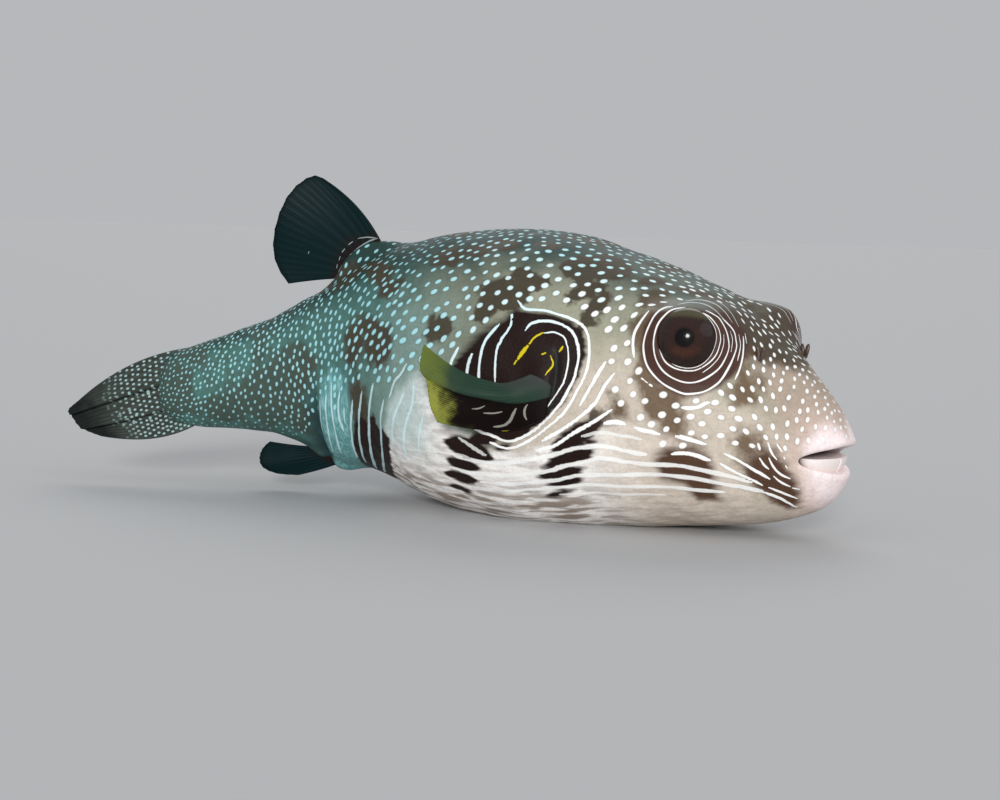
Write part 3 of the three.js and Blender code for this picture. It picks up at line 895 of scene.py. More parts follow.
def patchDepth(places, corners):
    # millimetres inside a closed outline, negative outside it
    nearest = np.full(places.shape[:-1], 1e9)
    inside = np.zeros(places.shape[:-1], bool)
    for a, b in zip(corners, np.roll(corners, -1, axis=0)):
        nearest = np.minimum(nearest, segmentGap(places, a, b))
        height = places[..., 1]
        crossing = (a[1] > height) != (b[1] > height)
        rise = b[1] - a[1] if b[1] != a[1] else 1
        inside ^= crossing & (places[..., 0] < a[0] + (b[0] - a[0]) * (height - a[1]) / rise)
    return np.where(inside, nearest, -nearest)


def spotKinds(places):
    # spacing, half width, stretch, lean and strength at each place, blended from the nearest zones
    zones = flatPlace(*np.array([zone[0] for zone in spotZones], float).T)
    kinds = np.array([zone[1:] for zone in spotZones])
    gap = zones - places[:, None]
    weights = np.exp(-(gap**2).sum(-1) / spots["zoneReach"] ** 2) + 1e-9
    return weights @ kinds / weights.sum(1, keepdims=True)


def crowded(cells, key, point, spacing):
    # whether a spot stands too near, in this cell or the ones round it
    for step in np.ndindex(3, 3, 3):
        cell = tuple(key[axis] + step[axis] - 1 for axis in range(3))
        for other, gap in cells.get(cell, ()):
            if ((other - point) ** 2).sum() < (gap + spacing) ** 2 / 4:
                return True
    return False


def scatterSpots(hide, rings):
    # tries places at random over the skin and keeps those that lie clear of the lines and of other spots
    chance = np.random.default_rng(spots["seed"])
    lines = treeOf(hide.table()[:, :3])
    ringTrees = {side: treeOf(rings[name].table()[:, :3]) for name, side in sides.items()}
    lineWidths = hide.table()[:, 10]
    along = np.linalg.norm(np.gradient(skinPoints, axis=0), axis=-1)
    around = np.linalg.norm(np.gradient(skinPoints, axis=1), axis=-1)
    area = along * around
    area[: skinGrid["pocketRows"] + 3] = 0
    floor = np.interp(skinDistances, *np.array(spotFloor, float).T)
    area[skinDegrees < floor] = 0
    area[np.maximum(along, around) > spots["widestCell"]] = 0
    picks = chance.choice(area.size, spots["tries"], p=area.ravel() / area.sum())
    headward = -np.gradient(skinPoints, axis=0)
    headward = (headward / np.maximum(np.linalg.norm(headward, axis=-1, keepdims=True), 1e-9)).reshape(-1, 3)
    kinds = spotKinds(flatPlace(skinDistances.ravel()[picks], skinDegrees.ravel()[picks]))
    cells, made = {}, 0
    cell = max(zone[1] for zone in spotZones)
    for pick, (spacing, halfWidth, stretch, lean, strength) in zip(picks, kinds):
        jitter = chance.uniform(-0.5, 0.5, 2)
        point = flatPoints[pick]
        key = tuple((point // cell).astype(int))
        if crowded(cells, key, point, spacing):
            continue
        side = 1 if point[1] > 0 else -1
        if nearEye(point, side):
            seen = eyePlane(point, side)
            if patchDepth(seen[:2], np.array(eyePatch)) > -spots["offRings"]:
                continue
            if ringTrees[side].find(seen)[2] < halfWidth * stretch + spots["clearance"]:
                continue
        _, number, gap = lines.find(point)
        if gap < lineWidths[number] + halfWidth + spots["clearance"]:
            continue
        cells.setdefault(key, []).append((point, spacing * spots["crowding"]))
        normal, forward = flatNormals[pick], headward[pick]
        upward = np.cross(normal, forward)
        upward *= math.copysign(1, upward[2])
        turn = math.radians(lean + chance.normal(0, spots["turnSpread"]))
        way = forward * math.cos(turn) + upward * math.sin(turn)
        size = halfWidth * chance.uniform(*spots["sizes"])
        place = point + forward * jitter[0] * spots["jitter"] + upward * jitter[1] * spots["jitter"]
        tint = (strength, 0, float(smoothStep(skinDistances.ravel()[pick], *spots["blueFrom"])))
        hide.spot(place, way, np.cross(normal, way), size * stretch, size, tint)
        made += 1
    return made


hideStrokes, ringStrokes = layLines()
spotCount = scatterSpots(hideStrokes, ringStrokes)
charts = [(skinPoints, hideStrokes.table(), skinInside == 0)]
for name, side in sides.items():
    charts.append((eyePlane(skinPoints, side), ringStrokes[name].table(), nearEye(skinPoints, side)))
paintStrokes(skin, charts)
print("skin marked,", spotCount, "spots")


# the ground colours of the hide and its painted shade, kept as soft fields on its vertices

# blotches: place, reach along and around in millimetres, tilt in degrees
brownBlotches = [
    ((34, 60), (6, 8), 20), ((33, 84), (6, 9), 0), ((52, 76), (6, 4), 30), ((92, 62), (13, 11), 20),
    ((91, 46), (5, 8), -30), ((85, 33), (2.8, 8), -12), ((147, 22), (6, 5), 0), ((100, 56), (6, 5), 0),
    ((120, 37), (11, 8), 0), ((127, 31), (6, 6), 0), ((112, 42), (8, 5), 10), ((118, 45), (5, 4), 0),
    ((135, 63), (8, 5), -10), ((155, 57), (7, 6), 0), ((142, 60), (7, 4), 0), ((63, 32), (5.5, 15), 8),
    ((60, 12), (5, 8), 0), ((54, 0), (8, 5), 0), ((51, -12), (5.5, 9), 0), ((47, -24), (8, 9), 0),
    ((70, -2), (5, 3.2), -30), ((74, -7), (5, 2.6), -25), ((27, -10), (4, 7), 0), ((24, -20), (5, 9), 0),
    ((37, 78), (10, 8), 0), ((32, 62), (6, 8), 0), ((26, 72), (4, 6), 0), ((66, 52), (5, 8), 0),
    ((30, 30), (4, 9), 0), ((181, 17), (14, 8), -6), ((195, 14), (8, 6), 0), ((192, -15), (7, 11), 0),
    ((188, 51), (16, 6), -35), ((176, 42), (5, 4), 0), ((210, 72), (8, 8), 0), ((218, 80), (9, 6), 0),
    ((244, 36), (4, 10), 0), ((230, 4), (12, 10), 0), ((238, -20), (15, 12), 0), ((256, -32), (13, 7), 0),
    ((280, 12), (9, 9), 0), ((281, -22), (9, 7), 0), ((276, 60), (8, 6), 0), ((226, -38), (6, 7), 0),
    ((116, 66), (4, 3), 0), ((72, 66), (5, 3.4), 20), ((60, 72), (5, 3), 0), ((76, 86), (7, 5), 0),
    ((104, 84), (9, 5), 0), ((160, 80), (10, 5), 0),
]
# black bars that the pale lines cross, drawn out at both ends: two ends and a half thickness
blackBars = [
    ((74.5, -7), (96, -19.5), 3.0), ((77.5, -15.2), (88, -16), 1.4), ((77, -17.4), (100, -26), 2.5),
    ((82.5, -26.4), (104, -31), 2.2), ((84.5, -31.6), (100, -35), 2.0), ((86.5, -36.8), (102, -41.5), 1.6),
    ((119, -22.8), (142, -17), 4.2), ((126, -27.8), (143, -26.2), 3.2), ((128.5, -34.2), (145, -33.8), 3.0),
    ((133, -42), (145, -42), 1.7), ((110.5, -16.2), (118.5, -18.4), 1.3), ((116, -15.2), (130, -14.8), 2.2),
    ((100, -9.6), (122, -12.9), 1.8),
]
blackPatches = {
    "pit": [
        (114, 29.8), (101, 30), (90.5, 28), (84.9, 23.7), (82.8, 14), (84.2, 5.4), (87.8, 0), (91.8, -3.9),
        (102.5, -11.5), (112, -15.5), (121, -14), (133, -9), (139, -2), (141, 6), (138.5, 9), (131, 17),
        (126, 22), (118, 26),
    ],
    "rearBars": [
        (171, -24), (174, -36), (177, -50), (181, -66), (186, -84), (200, -84), (200, -60), (199, -38),
        (195.5, -26), (191, -19), (187, -23), (182, -15), (178, -22), (174.5, -19.5),
    ],
    "chin": [
        (22.5, -6), (26.5, -13), (29.5, -20), (28, -30), (23.5, -40), (18.5, -60), (15.5, -61), (13.6, -50),
        (13, -36), (14.2, -24), (16.5, -12), (19, -6),
    ],
    "cheek": [
        (44, -15), (38.6, -18), (38, -32), (38.8, -45), (46, -46), (48.5, -34), (56.5, -32), (57, -22),
        (53, -17),
    ],
}
palePatches = {
    "belly": [
        (28, -100), (30, -40), (33, -27), (38, -19), (46, -15), (56, -11), (66, -8), (76, -10), (92, -16),
        (108, -20), (122, -19), (133, -14), (141, -10), (147, -2), (152, 5), (158, 4), (164, -1),
        (170, -10), (174, -24), (180, -60), (184, -100),
    ],
    "rear": [
        (199, -100), (199, -35), (198, -16), (201, -3), (207, 0), (212, -6), (215, -22), (216.5, -50),
        (216, -100),
    ],
    "chin": [
        (-2, -100), (-2, 2), (6, 3), (9.5, -10), (12, -24), (12, -40), (13.5, -54), (17, -70), (28, -100),
    ],
}
fields = {
    "reach": 10.0,  # millimetres either side of an edge that the fields keep
    "length": 300,  # millimetres behind the snout that the chart holds
    "barSwell": 1.15, "barRound": 2.5,
    # where each tint comes and goes: millimetres behind the snout, and degrees up from the side
    "gutFrom": (140, 160), "gutTo": (180, 192), "gutUp": (-42, -10),
    "rosyTo": (5, 22), "rosyLean": (0.1, 0.03),  # millimetres sooner for each degree, above and below
    "chinRosy": 0.8, "chinTo": (7, 26), "chinDown": (0, 8),
    # painted shade: a dark strip in the gill slit and in the crease behind the belly
    "gillShade": 0.3, "gillWidth": 1.3, "creaseAhead": 2.2, "creaseBehind": 4.2, "creaseUp": (-34, 4),
}


def outlinesDepth(places, outlines):
    return np.max([patchDepth(places, flatPlace(*np.array(o, float).T)) for o in outlines], axis=0)


def blotchDepth(places):
    depth = np.full(places.shape[:-1], -fields["reach"])
    for middle, reach, tilt in brownBlotches:
        gap = places - flatPlace(*np.array(middle, float))
        c, s = math.cos(math.radians(tilt)), math.sin(math.radians(tilt))
        along, across = gap[..., 0] * c - gap[..., 1] * s, gap[..., 0] * s + gap[..., 1] * c
        size = np.hypot(along / reach[0], across / reach[1])
        depth = np.maximum(depth, (1 - size) * min(reach))
    return depth


def barDepth(places):
    depths = []
    for a, b, half in blackBars:
        a, b = flatPlace(*np.array(a, float)), flatPlace(*np.array(b, float))
        t = (places - a) @ (b - a) / ((b - a) @ (b - a))
        swell = fields["barSwell"] * np.maximum(1 - np.abs(2 * t - 1) ** fields["barRound"], 0)
        depths.append(half * swell - segmentGap(places, a, b))
    return np.max(depths, axis=0)


def asField(depth):
    return 0.5 + np.clip(depth, -fields["reach"], fields["reach"]) / (2 * fields["reach"])


def storeGround():
    # soft fields and tints worked out on the flat chart; the left side's wander as its lines do
    wander = (skinPoints[..., 1:2] > 0) * leftWander(skinDistances)
    distances, degrees = skinDistances - wander[..., 0], skinDegrees - wander[..., 1]
    places = flatPlace(distances, degrees)
    black = np.maximum(barDepth(places), outlinesDepth(places, blackPatches.values()))
    belly = outlinesDepth(places, [palePatches["belly"], palePatches["chin"]])
    rear = outlinesDepth(places, [palePatches["rear"]])
    ring = np.full(places.shape[:-1], -fields["reach"])
    for side in sides.values():
        depth = patchDepth(eyePlane(skinPoints, side)[..., :2], np.array(eyePatch))
        ring = np.maximum(ring, np.where(nearEye(skinPoints, side), depth, -fields["reach"]))
    ground = [asField(depth) for depth in (blotchDepth(places), black, belly, ring)]
    storeColours(skin, "ground", np.stack(ground, -1))

    gut = smoothStep(distances, *fields["gutFrom"]) * (1 - smoothStep(distances, *fields["gutTo"]))
    gut = gut * smoothStep(degrees, *fields["gutUp"])
    lean = np.where(degrees > 0, *fields["rosyLean"]) * np.abs(degrees)
    rosy = 1 - smoothStep(distances + lean, *fields["rosyTo"])
    chin = (1 - smoothStep(distances, *fields["chinTo"])) * smoothStep(-degrees, *fields["chinDown"])
    rosy = np.maximum(rosy, fields["chinRosy"] * chin)
    # painted shade: darkening in the gill slit and in the crease behind the belly
    height, line = gillLine(degrees)
    gill = bell(distances - line, fields["gillWidth"]) * ((height > 0) & (height < 1))
    behind = behindCrease(distances, degrees)
    crease = bell(behind, np.where(behind < 0, fields["creaseAhead"], fields["creaseBehind"]))
    shade = np.maximum(crease * (1 - smoothStep(degrees, *fields["creaseUp"])), fields["gillShade"] * gill)
    storeColours(skin, "tone", np.stack([gut, rosy, asField(rear), shade], -1))

    # painted shade: the deeper inside the mouth, the darker
    throatShade = np.zeros(places.shape[:-1])
    rows = skinGrid["pocketRows"]
    throatShade[: rows + 1] = np.linspace(1, 0, rows + 1)[:, None]
    chart = [skinDistances / fields["length"], (skinDegrees + 90) / 180, throatShade, np.ones_like(throatShade)]
    storeColours(skin, "chart", np.stack(chart, -1))


storeGround()
print("ground colours stored")


# paints

class Wire:
    # one socket of a material, on which sums can be written
    def __init__(self, socket):
        self.socket = socket

    def node(self, kind, settings=None, values=None, out=0):
        tree = self.socket.id_data
        made = tree.nodes.new("ShaderNode" + kind)
        for name, value in (settings or {}).items():
            setattr(made, name, value)
        for name, value in (values or {}).items():
            if isinstance(value, Wire):
                tree.links.new(value.socket, made.inputs[name])
            else:
                made.inputs[name].default_value = value
        return Wire(made.outputs[out])

    def sum(self, operation, other, flipped=False):
        isVector = self.socket.type == "VECTOR"
        if isVector and isinstance(other, (int, float)):
            other = (other, other, other)
        first, second = (other, self) if flipped else (self, other)
        kind = "VectorMath" if isVector else "Math"
        return self.node(kind, {"operation": operation}, {0: first, 1: second})

    def __add__(self, other):
        return self.sum("ADD", other)

    def __sub__(self, other):
        return self.sum("SUBTRACT", other)

    def __rsub__(self, other):
        return self.sum("SUBTRACT", other, True)

    def __mul__(self, other):
        return self.sum("MULTIPLY", other)

    def __truediv__(self, other):
        return self.sum("DIVIDE", other)

    __radd__, __rmul__ = __add__, __mul__

    def most(self, other):
        return self.sum("MAXIMUM", other)

    def between(self, low, high, lowValue=0.0, highValue=1.0):
        # rises smoothly as the wire passes from low to high
        return self.node(
            "MapRange", {"interpolation_type": "SMOOTHSTEP"},
            {"Value": self, "From Min": low, "From Max": high, "To Min": lowValue, "To Max": highValue},
        )

    def mix(self, first, second):
        # from the first colour to the second as this share rises
        return self.node("Mix", {"data_type": "RGBA"}, {0: self, 6: first, 7: second}, 2)

    def scaled(self, factor):
        return self.node("VectorMath", {"operation": "SCALE"}, {0: self, "Scale": factor})

    def length(self):
        return self.node("VectorMath", {"operation": "LENGTH"}, {0: self}, "Value")

    def noise(self, millimetres, detail):
        return self.node("TexNoise", None, {"Vector": self, "Scale": 1 / (millimetres * mm), "Detail": detail})

    def stored(self, name, out="Color"):
        return self.node("Attribute", {"attribute_name": name}, None, out)

    def shaped(self, operation):
        return self.node("Math", {"operation": operation}, {0: self})

    def parts(self, *names):
        return [self.node("SeparateColor", None, {0: self}, name) for name in names]


def asLight(colours):
    # colours as they look on a screen, turned into the light they stand for
    return {
        name: tuple(v / 12.92 if v <= 0.04045 else ((v + 0.055) / 1.055) ** 2.4 for v in colour) + (1,)
        for name, colour in colours.items()
    }


def newPaint(name, sockets):
    # a material, a wire on its object coordinates, and the shader's inputs
    paint = bpy.data.materials.new(name)
    paint.use_nodes = True
    nodes = paint.node_tree.nodes
    shader = nodes["Principled BSDF"].inputs
    for socket, value in sockets.items():
        shader[socket].default_value = value
    return paint, Wire(nodes.new("ShaderNodeTexCoord").outputs["Object"]), shader


def feed(shader, colour, roughness):
    for name, wire in {"Base Color": colour, "Roughness": roughness}.items():
        wire.socket.id_data.links.new(wire.socket, shader[name])


def feedBump(shader, height, millimetres):
    bump = height.node("Bump", None, {"Strength": 1, "Distance": millimetres * mm, "Height": height})
    height.socket.id_data.links.new(bump.socket, shader["Normal"])


def markEdge(place, roughening):
    # how far out this point of a mark lies, under 1 inside it, and the mark's strength and tints
    distance = place.node("UVMap", {"uv_map": "marks"}).length() + roughening
    return [distance] + place.stored("markTint").parts("Red", "Green", "Blue")


hideColours = asLight({
    "tan": (0.785, 0.74, 0.68), "khaki": (0.60, 0.60, 0.525), "flank": (0.475, 0.495, 0.43),
    "flankPale": (0.51, 0.61, 0.585), "teal": (0.29, 0.44, 0.415), "back": (0.16, 0.25, 0.235),
    "crown": (0.33, 0.37, 0.335), "brow": (0.35, 0.325, 0.285), "snout": (0.68, 0.615, 0.555),
    "cheekUnder": (0.85, 0.80, 0.745), "belly": (0.965, 0.95, 0.935), "underGrey": (0.60, 0.545, 0.50),
    "gut": (0.69, 0.765, 0.755), "rear": (0.36, 0.58, 0.58), "rearPale": (0.60, 0.80, 0.81),
    "brownHead": (0.42, 0.34, 0.26), "brownBody": (0.265, 0.235, 0.185), "blackHead": (0.33, 0.235, 0.18),
    "blackBody": (0.125, 0.07, 0.058), "maroon": (0.30, 0.205, 0.175), "rosy": (0.85, 0.755, 0.715),
    # painted shade: the throat colour deep in the mouth, and shade in the crease behind the belly and the gill
    # slit
    "lips": (0.965, 0.90, 0.90), "throatShade": (0.20, 0.10, 0.09), "shade": (0.12, 0.20, 0.22),
    "white": (0.985, 0.985, 0.975), "blue": (0.66, 0.89, 0.92), "yellow": (0.84, 0.76, 0.08),
    "stalkBrown": (0.26, 0.335, 0.305),
})


def skinPaint():
    # behind is in millimetres from the snout; height goes from 0 under the belly to 1 along the back
    gloss = {"Coat Weight": 0.03, "Coat Roughness": 0.3, "Specular IOR Level": 0.14}
    paint, place, shader = newPaint("puffer hide", gloss)
    brown, black, belly = place.stored("ground").parts("Red", "Green", "Blue")
    ring = place.stored("ground", "Alpha")
    gut, rosy, rear = place.stored("tone").parts("Red", "Green", "Blue")
    shade = place.stored("tone", "Alpha")
    behind, height, throatShade = place.stored("chart").parts("Red", "Green", "Blue")
    brown, black, belly, ring, rear = [
        (field - 0.5) * (2 * fields["reach"]) for field in (brown, black, belly, ring, rear)
    ]
    behind = behind * fields["length"]

    wide, middling = place.noise(9, 3) - 0.5, place.noise(3.2, 3) - 0.5
    grain, fine = place.noise(1.3, 3) - 0.5, place.noise(0.5, 2) - 0.5
    streaks = (place * (0.13, 1.0, 1.0)).noise(2.4, 2)
    upright = (place * (1.0, 1.0, 0.15)).noise(1.1, 2)
    ragged = wide * 11 + middling * 5

    # ground: pale cheeks, a brownish snout, khaki flanks, a darker back and a dim blue-green tail, both partly
    # painted shade
    colour = (height + wide * 0.1).between(0.50, 0.68).mix(hideColours["tan"], hideColours["khaki"])
    colour = (behind - height * 55 + wide * 12).between(0, -22).mix(colour, hideColours["snout"])
    colour = (behind + wide * 25).between(98, 135).mix(colour, hideColours["flank"])
    paleSide = (behind + wide * 40).between(125, 160) * (height + wide * 0.2).between(0.78, 0.62)
    colour = (paleSide * 0.8).mix(colour, hideColours["flankPale"])
    # the tail turns blue-green and darker, the darkening partly painted shade where the light falls off
    # towards the tail
    colour = (behind + height * 60 + wide * 25).between(182, 232).mix(colour, hideColours["teal"])
    # the top of the head and back is darker, partly its own colour and partly painted shade where less light
    # falls
    top = (height + wide * 0.12 - behind.between(30, 15) * 0.2).between(0.68, 0.87)
    top = top * behind.between(8, 26)
    topInk = (behind + wide * 12).between(38, 56).mix(hideColours["brow"], hideColours["crown"])
    colour = top.mix(colour, behind.between(70, 115).mix(topInk, hideColours["back"]))
    stalk = behind.between(205, 240) * (wide + middling).between(-0.06, 0.1)
    colour = (stalk * 0.6).mix(colour, hideColours["stalkBrown"])
    onHead = behind.between(84, 60)
    brownInk = (onHead * (1 - top * 0.8)).mix(hideColours["brownBody"], hideColours["brownHead"])
    softness = onHead * 1.4 + 1.1
    soft = softness + behind.between(140, 190) * 1.2
    brownInk = behind.between(200, 235, 0, 0.8).mix(brownInk, hideColours["stalkBrown"])
    colour = (((brown + ragged) / soft).between(-1, 1) * 0.95).mix(colour, brownInk)

    # belly: streaked along the body; the patch behind it is streaked around the body
    # the grey streaks grow stronger lower on the belly, partly the fish's own streaks and partly painted shade
    # of the underside
    low = height.between(0.23, 0.33, 1, 0.4) * behind.between(66, 96, 0.35, 1)
    whitest = behind.between(60, 92).mix(hideColours["cheekUnder"], hideColours["belly"])
    bellyInk = (streaks.between(0.40, 0.62) * low).mix(whitest, hideColours["underGrey"])
    bellyInk = (gut * 0.9).mix(bellyInk, hideColours["gut"])
    pale = (belly + ragged * 0.4).between(-3.5, 2.2)
    colour = pale.mix(colour, bellyInk)
    rearInk = (upright.between(0.40, 0.68) * 0.6).mix(hideColours["rear"], hideColours["rearPale"])
    colour = ((rear + ragged * 0.5).between(-3.0, 2.4) * 0.95).mix(colour, rearInk)
    colour = (rosy * 0.85).mix(colour, hideColours["rosy"])
    colour = rosy.between(0.55, 0.95).mix(colour, hideColours["lips"])
    blackInk = behind.between(58, 84).mix(hideColours["blackHead"], hideColours["blackBody"])
    blackSoft = softness + behind.between(108, 122) * height.between(0.54, 0.6) * 2.2
    bars = (black + ragged * 0.14 + (streaks - 0.5) * 3.6) / blackSoft
    colour = bars.between(-0.9, 0.9).mix(colour, blackInk)
    colour = (ring + ragged * 0.1).between(-1.6, 0.7).mix(colour, hideColours["maroon"])
    # painted shade in the crease behind the belly and in the gill slit
    colour = (shade * 0.85).mix(colour, hideColours["shade"])
    colour = colour.scaled(1 + fine * 0.3 + grain * 0.35 + middling * 0.3)

    # marks: white, bluer towards the tail and the back, and each with a thin dark edge
    edge, strength, yellow, blue = markEdge(place, fine * 0.35 + grain * 0.25)
    mark = edge.between(0.72, 1.3, 1, 0)
    colour = colour.scaled(1 - edge.between(1.0, 1.9, 0.16, 0) * (1 - pale * 0.8))
    blue = blue.most(behind.between(76, 115, 0, 0.5) * height.between(0.44, 0.62))
    blue = blue.most(top * behind.between(35, 100, 0.1, 0.85))
    markInk = yellow.mix(blue.mix(hideColours["white"], hideColours["blue"]), hideColours["yellow"])
    colour = (mark * strength * (1 + grain * 0.2)).mix(colour, markInk)
    # painted shade deep inside the mouth
    colour = throatShade.between(0.25, 0.85).mix(colour, hideColours["throatShade"])
    feed(shader, colour, 0.52 + grain * 0.25 - mark * 0.06 - rosy * 0.08)
    feedBump(shader, grain * 0.6 + fine * 0.35 + mark * 0.12, 0.35)
    return paint


skin.data.materials.append(skinPaint())


# fins: thin closed leaves, ribbed by their rays

# On a fin, u runs across the rays from 0 to 1, and v along them from 0 at the root to 1 at the margin.
# Lengths, leans, backs and heights are given at even steps of u, and a bulge ends at its second number.
fins = {
    "dorsal_fin": {
        "from": (-196, 0, 95), "to": (-213, 0, 85.5), "way": 1, "wave": 1.1,
        "lengths": (38.5, 43.5, 44, 40, 34, 24), "leans": (42, 41, 49, 64, 80, 97),
        "bulge": (4.5, 0.45), "bow": 1.2, "rays": 11, "halves": (0.9, 0.4), "ribbed": 0.03,
        "columns": 160, "rows": 80, "slot": "fin",
        # pale strokes: from and to across the fin, how far out at each end, half width
        "tint": (0.4, 0, 0.3),
        "strokes": [
            (0.03, 0.9, 0.2, 0.19, 0.24), (0.03, 0.75, 0.13, 0.14, 0.24), (0.03, 0.3, 0.2, 0.27, 0.2),
            (0.37, 0.43, 0.275, 0.28, 0.3), (0.5, 0.55, 0.28, 0.28, 0.3), (0.61, 0.66, 0.27, 0.26, 0.28),
            (0.73, 0.78, 0.25, 0.24, 0.26), (0.7, 0.72, 0.6, 0.6, 0.26), (0.1, 0.19, 0.165, 0.165, 0.36),
            (0.3, 0.37, 0.165, 0.165, 0.34),
        ],
    },
    "anal_fin": {
        "from": (-207.5, 0, 14.5), "to": (-222, 0, 18), "way": -1, "wave": 0.8,
        "lengths": (25, 31, 33, 31, 27, 21), "leans": (70, 73, 77, 82, 87, 93),
        "bulge": (0, 1), "bow": 1.2, "rays": 10, "halves": (0.9, 0.4), "ribbed": 0.08,
        "columns": 110, "rows": 50, "slot": "fin",
    },
    "caudal_fin": {
        "root": (-274, 56, 24), "bend": (-303, -290, 52, 15), "backs": (325, 326.5, 321, 313),
        "heights": (30, 27.5, 21, 18.5),
        "folds": (0.36, 0.67), "foldWidth": 0.022, "overlap": 0.085, "lap": 1.7,
        "rays": 11, "halves": (1.3, 0.42), "ribbed": 0.18, "columns": 300, "rows": 120, "slot": "tail_fin",
        "dots": {
            "rows": 17, "columns": 17, "from": 0.015, "depth": 0.8, "fade": (0.5, 0.8),
            "halves": (0.62, 0.42), "strength": 0.66, "blueness": 0.7,
            "spread": (0.15, 0.12, 0.04), "seed": 5,  # across, along and in the fading
        },
        "foldStrokes": 6, "tint": (0.45, 0, 0.3),
    },
    "pectoral_fin": {
        "root": (-6, 56.5, 41), "bend": (26, 20, 46, 32), "arch": (0, 4.5, 2.5, -0.5, -3), "lift": 8.4,
        "foremost": 0.3, "rounding": (8, 2.5),
        "backs": (50.8, 46.8, 46.8, 47.4, 47.6), "heights": (66, 58, 50, 43, 38),
        "hinge": (-95, 50), "swing": 28, "lap": 1.5,
        "band": (0.5, 0.31), "bandLap": 0.07, "paintedBand": (0.5, 0.32),  # at the root, and half way out
        "rays": 17, "halves": (1.0, 0.4), "ribbed": 0.04, "columns": 160, "rows": 96, "slot": "pectoral_fin",
        # tan strokes: places (across the fin, how far out), half width
        "tint": (0.42, 0.4, 0),
        "strokes": [
            ([(0.52, 0.16), (0.62, 0.19), (0.74, 0.2), (0.84, 0.19)], 0.45),
            ([(0.55, 0.27), (0.66, 0.32), (0.78, 0.38), (0.87, 0.47), (0.9, 0.56)], 0.5),
            ([(0.58, 0.42), (0.61, 0.5), (0.62, 0.58)], 0.3),
            ([(0.48, 0.55), (0.54, 0.6), (0.57, 0.66)], 0.25),
        ],
    },
}
leaf = {
    "gathering": 1.15,  # the rows stand closer at the margin
    "forks": (0.45, 0.8),  # where the rays branch
    "fullness": 0.9, "squareness": 40,  # of the web between the rays, and of its edges
    "fringe": (0.007, 0.003), "frill": 3.7,
}


def lerp(a, b, t):
    return a + (b - a) * t


def bowed(root, bend, margin, v):
    return (1 - v) ** 2 * root + 2 * v * (1 - v) * bend + v**2 * margin


def fringe(kind, u):
    # how far out the margin reaches: the rays' ends stand a little past the web
    turn = math.pi * kind["rays"] * u
    deep, shallow = leaf["fringe"]
    return 1 - deep * np.abs(np.sin(turn)) - shallow * np.abs(np.sin(leaf["frill"] * turn))


def midSurface(kind, u, v):
    # the dorsal and anal fins, which stand in the middle plane
    root = lerp(np.array(kind["from"], float), np.array(kind["to"], float), u[..., None])
    length = smoothly(kind["lengths"], 5 * u) * fringe(kind, u)
    lean = np.radians(smoothly(kind["leans"], 5 * u))
    out = np.stack([-length * np.sin(lean), 0 * u, kind["way"] * length * np.cos(lean)], -1)
    margin = root + out
    bulge, bulgeEnd = kind["bulge"]
    bulge = bulge * (1 - smoothStep(u, 0, bulgeEnd))
    bend = (root + margin) / 2 + (kind["bow"], 0, kind["way"])
    bend += np.stack([bulge * np.cos(lean), 0 * u, bulge * np.sin(lean)], -1)
    points = bowed(root, bend, margin, v[..., None])
    points[..., 1] += kind["wave"] * v**2 * np.sin(9 * u)
    return points


def tailSurface(kind, u, v):
    # three lobes lapped like shingles: past each fold the web doubles back under the lobe above
    half = kind["foldWidth"]
    step = sum(smoothStep(u, fold - half, fold + half) for fold in kind["folds"])
    height = u - kind["overlap"] * smoothStep(v, 0.05, 0.9) * (step - len(kind["folds"]) * u)
    lobe = u * (len(kind["folds"]) + 1) - step
    aside = kind["lap"] * smoothStep(v, 0, 0.45) * (0.9 - 1.6 * lobe)
    x0, top, bottom = kind["root"]
    root = np.stack([x0 + 0 * u, 0 * u, lerp(top, bottom, height)], -1)
    b0, b1, z0, z1 = kind["bend"]
    bend = np.stack([lerp(b0, b1, height), 0 * u, lerp(z0, z1, height)], -1)
    reach = fringe(kind, u)
    back = smoothly(kind["backs"], 3 * height) * (0.15 * reach + 0.85)
    margin = np.stack([-back, 0 * u, smoothly(kind["heights"], 3 * height)], -1)
    points = bowed(root, bend, margin, v[..., None])
    points[..., 1] += aside - 0.7 * np.sin(math.pi * v) * np.sin(2 * math.pi * u)
    return points


def armSurface(kind, u, v, side):
    # a pectoral fin, swung out from its hinge, with its upper band lapped over the lower half
    bandEdge = lerp(*kind["band"], smoothStep(v, 0, 0.5))
    lap = kind["lap"] * smoothStep(u, 0, bandEdge) * (1 - smoothStep(u, bandEdge, bandEdge + kind["bandLap"]))
    arch = smoothly(kind["arch"], 4 * u)
    back0, top, bottom = kind["root"]
    above, below = np.maximum(1 - u / kind["foremost"], 0), np.maximum(u - kind["foremost"], 0)
    back = back0 + kind["rounding"][0] * above**2 + kind["rounding"][1] * below
    root = (back, 0 * u, lerp(top, bottom, u))
    b0, b1, z0, z1 = kind["bend"]
    bend = (lerp(b0, b1, u), 1.1 * arch, lerp(z0, z1, u))
    reach = fringe(kind, u)
    margin = (smoothly(kind["backs"], 4 * u) * reach, arch, smoothly(kind["heights"], 4 * u))
    back, out, z = (bowed(r, b, m, v) for r, b, m in zip(root, bend, margin))
    out = out + lap * smoothStep(v, 0.06, 0.3) + 0.35 * np.sin(11 * u) * v
    out = out + kind["lift"] * (1 - smoothStep(v, 0, 0.55))
    c, s = math.cos(math.radians(kind["swing"])), math.sin(math.radians(kind["swing"]))
    x, y = kind["hinge"]
    return np.stack([x - back * c - out * s, side * (y + back * s + out * c), z], -1)


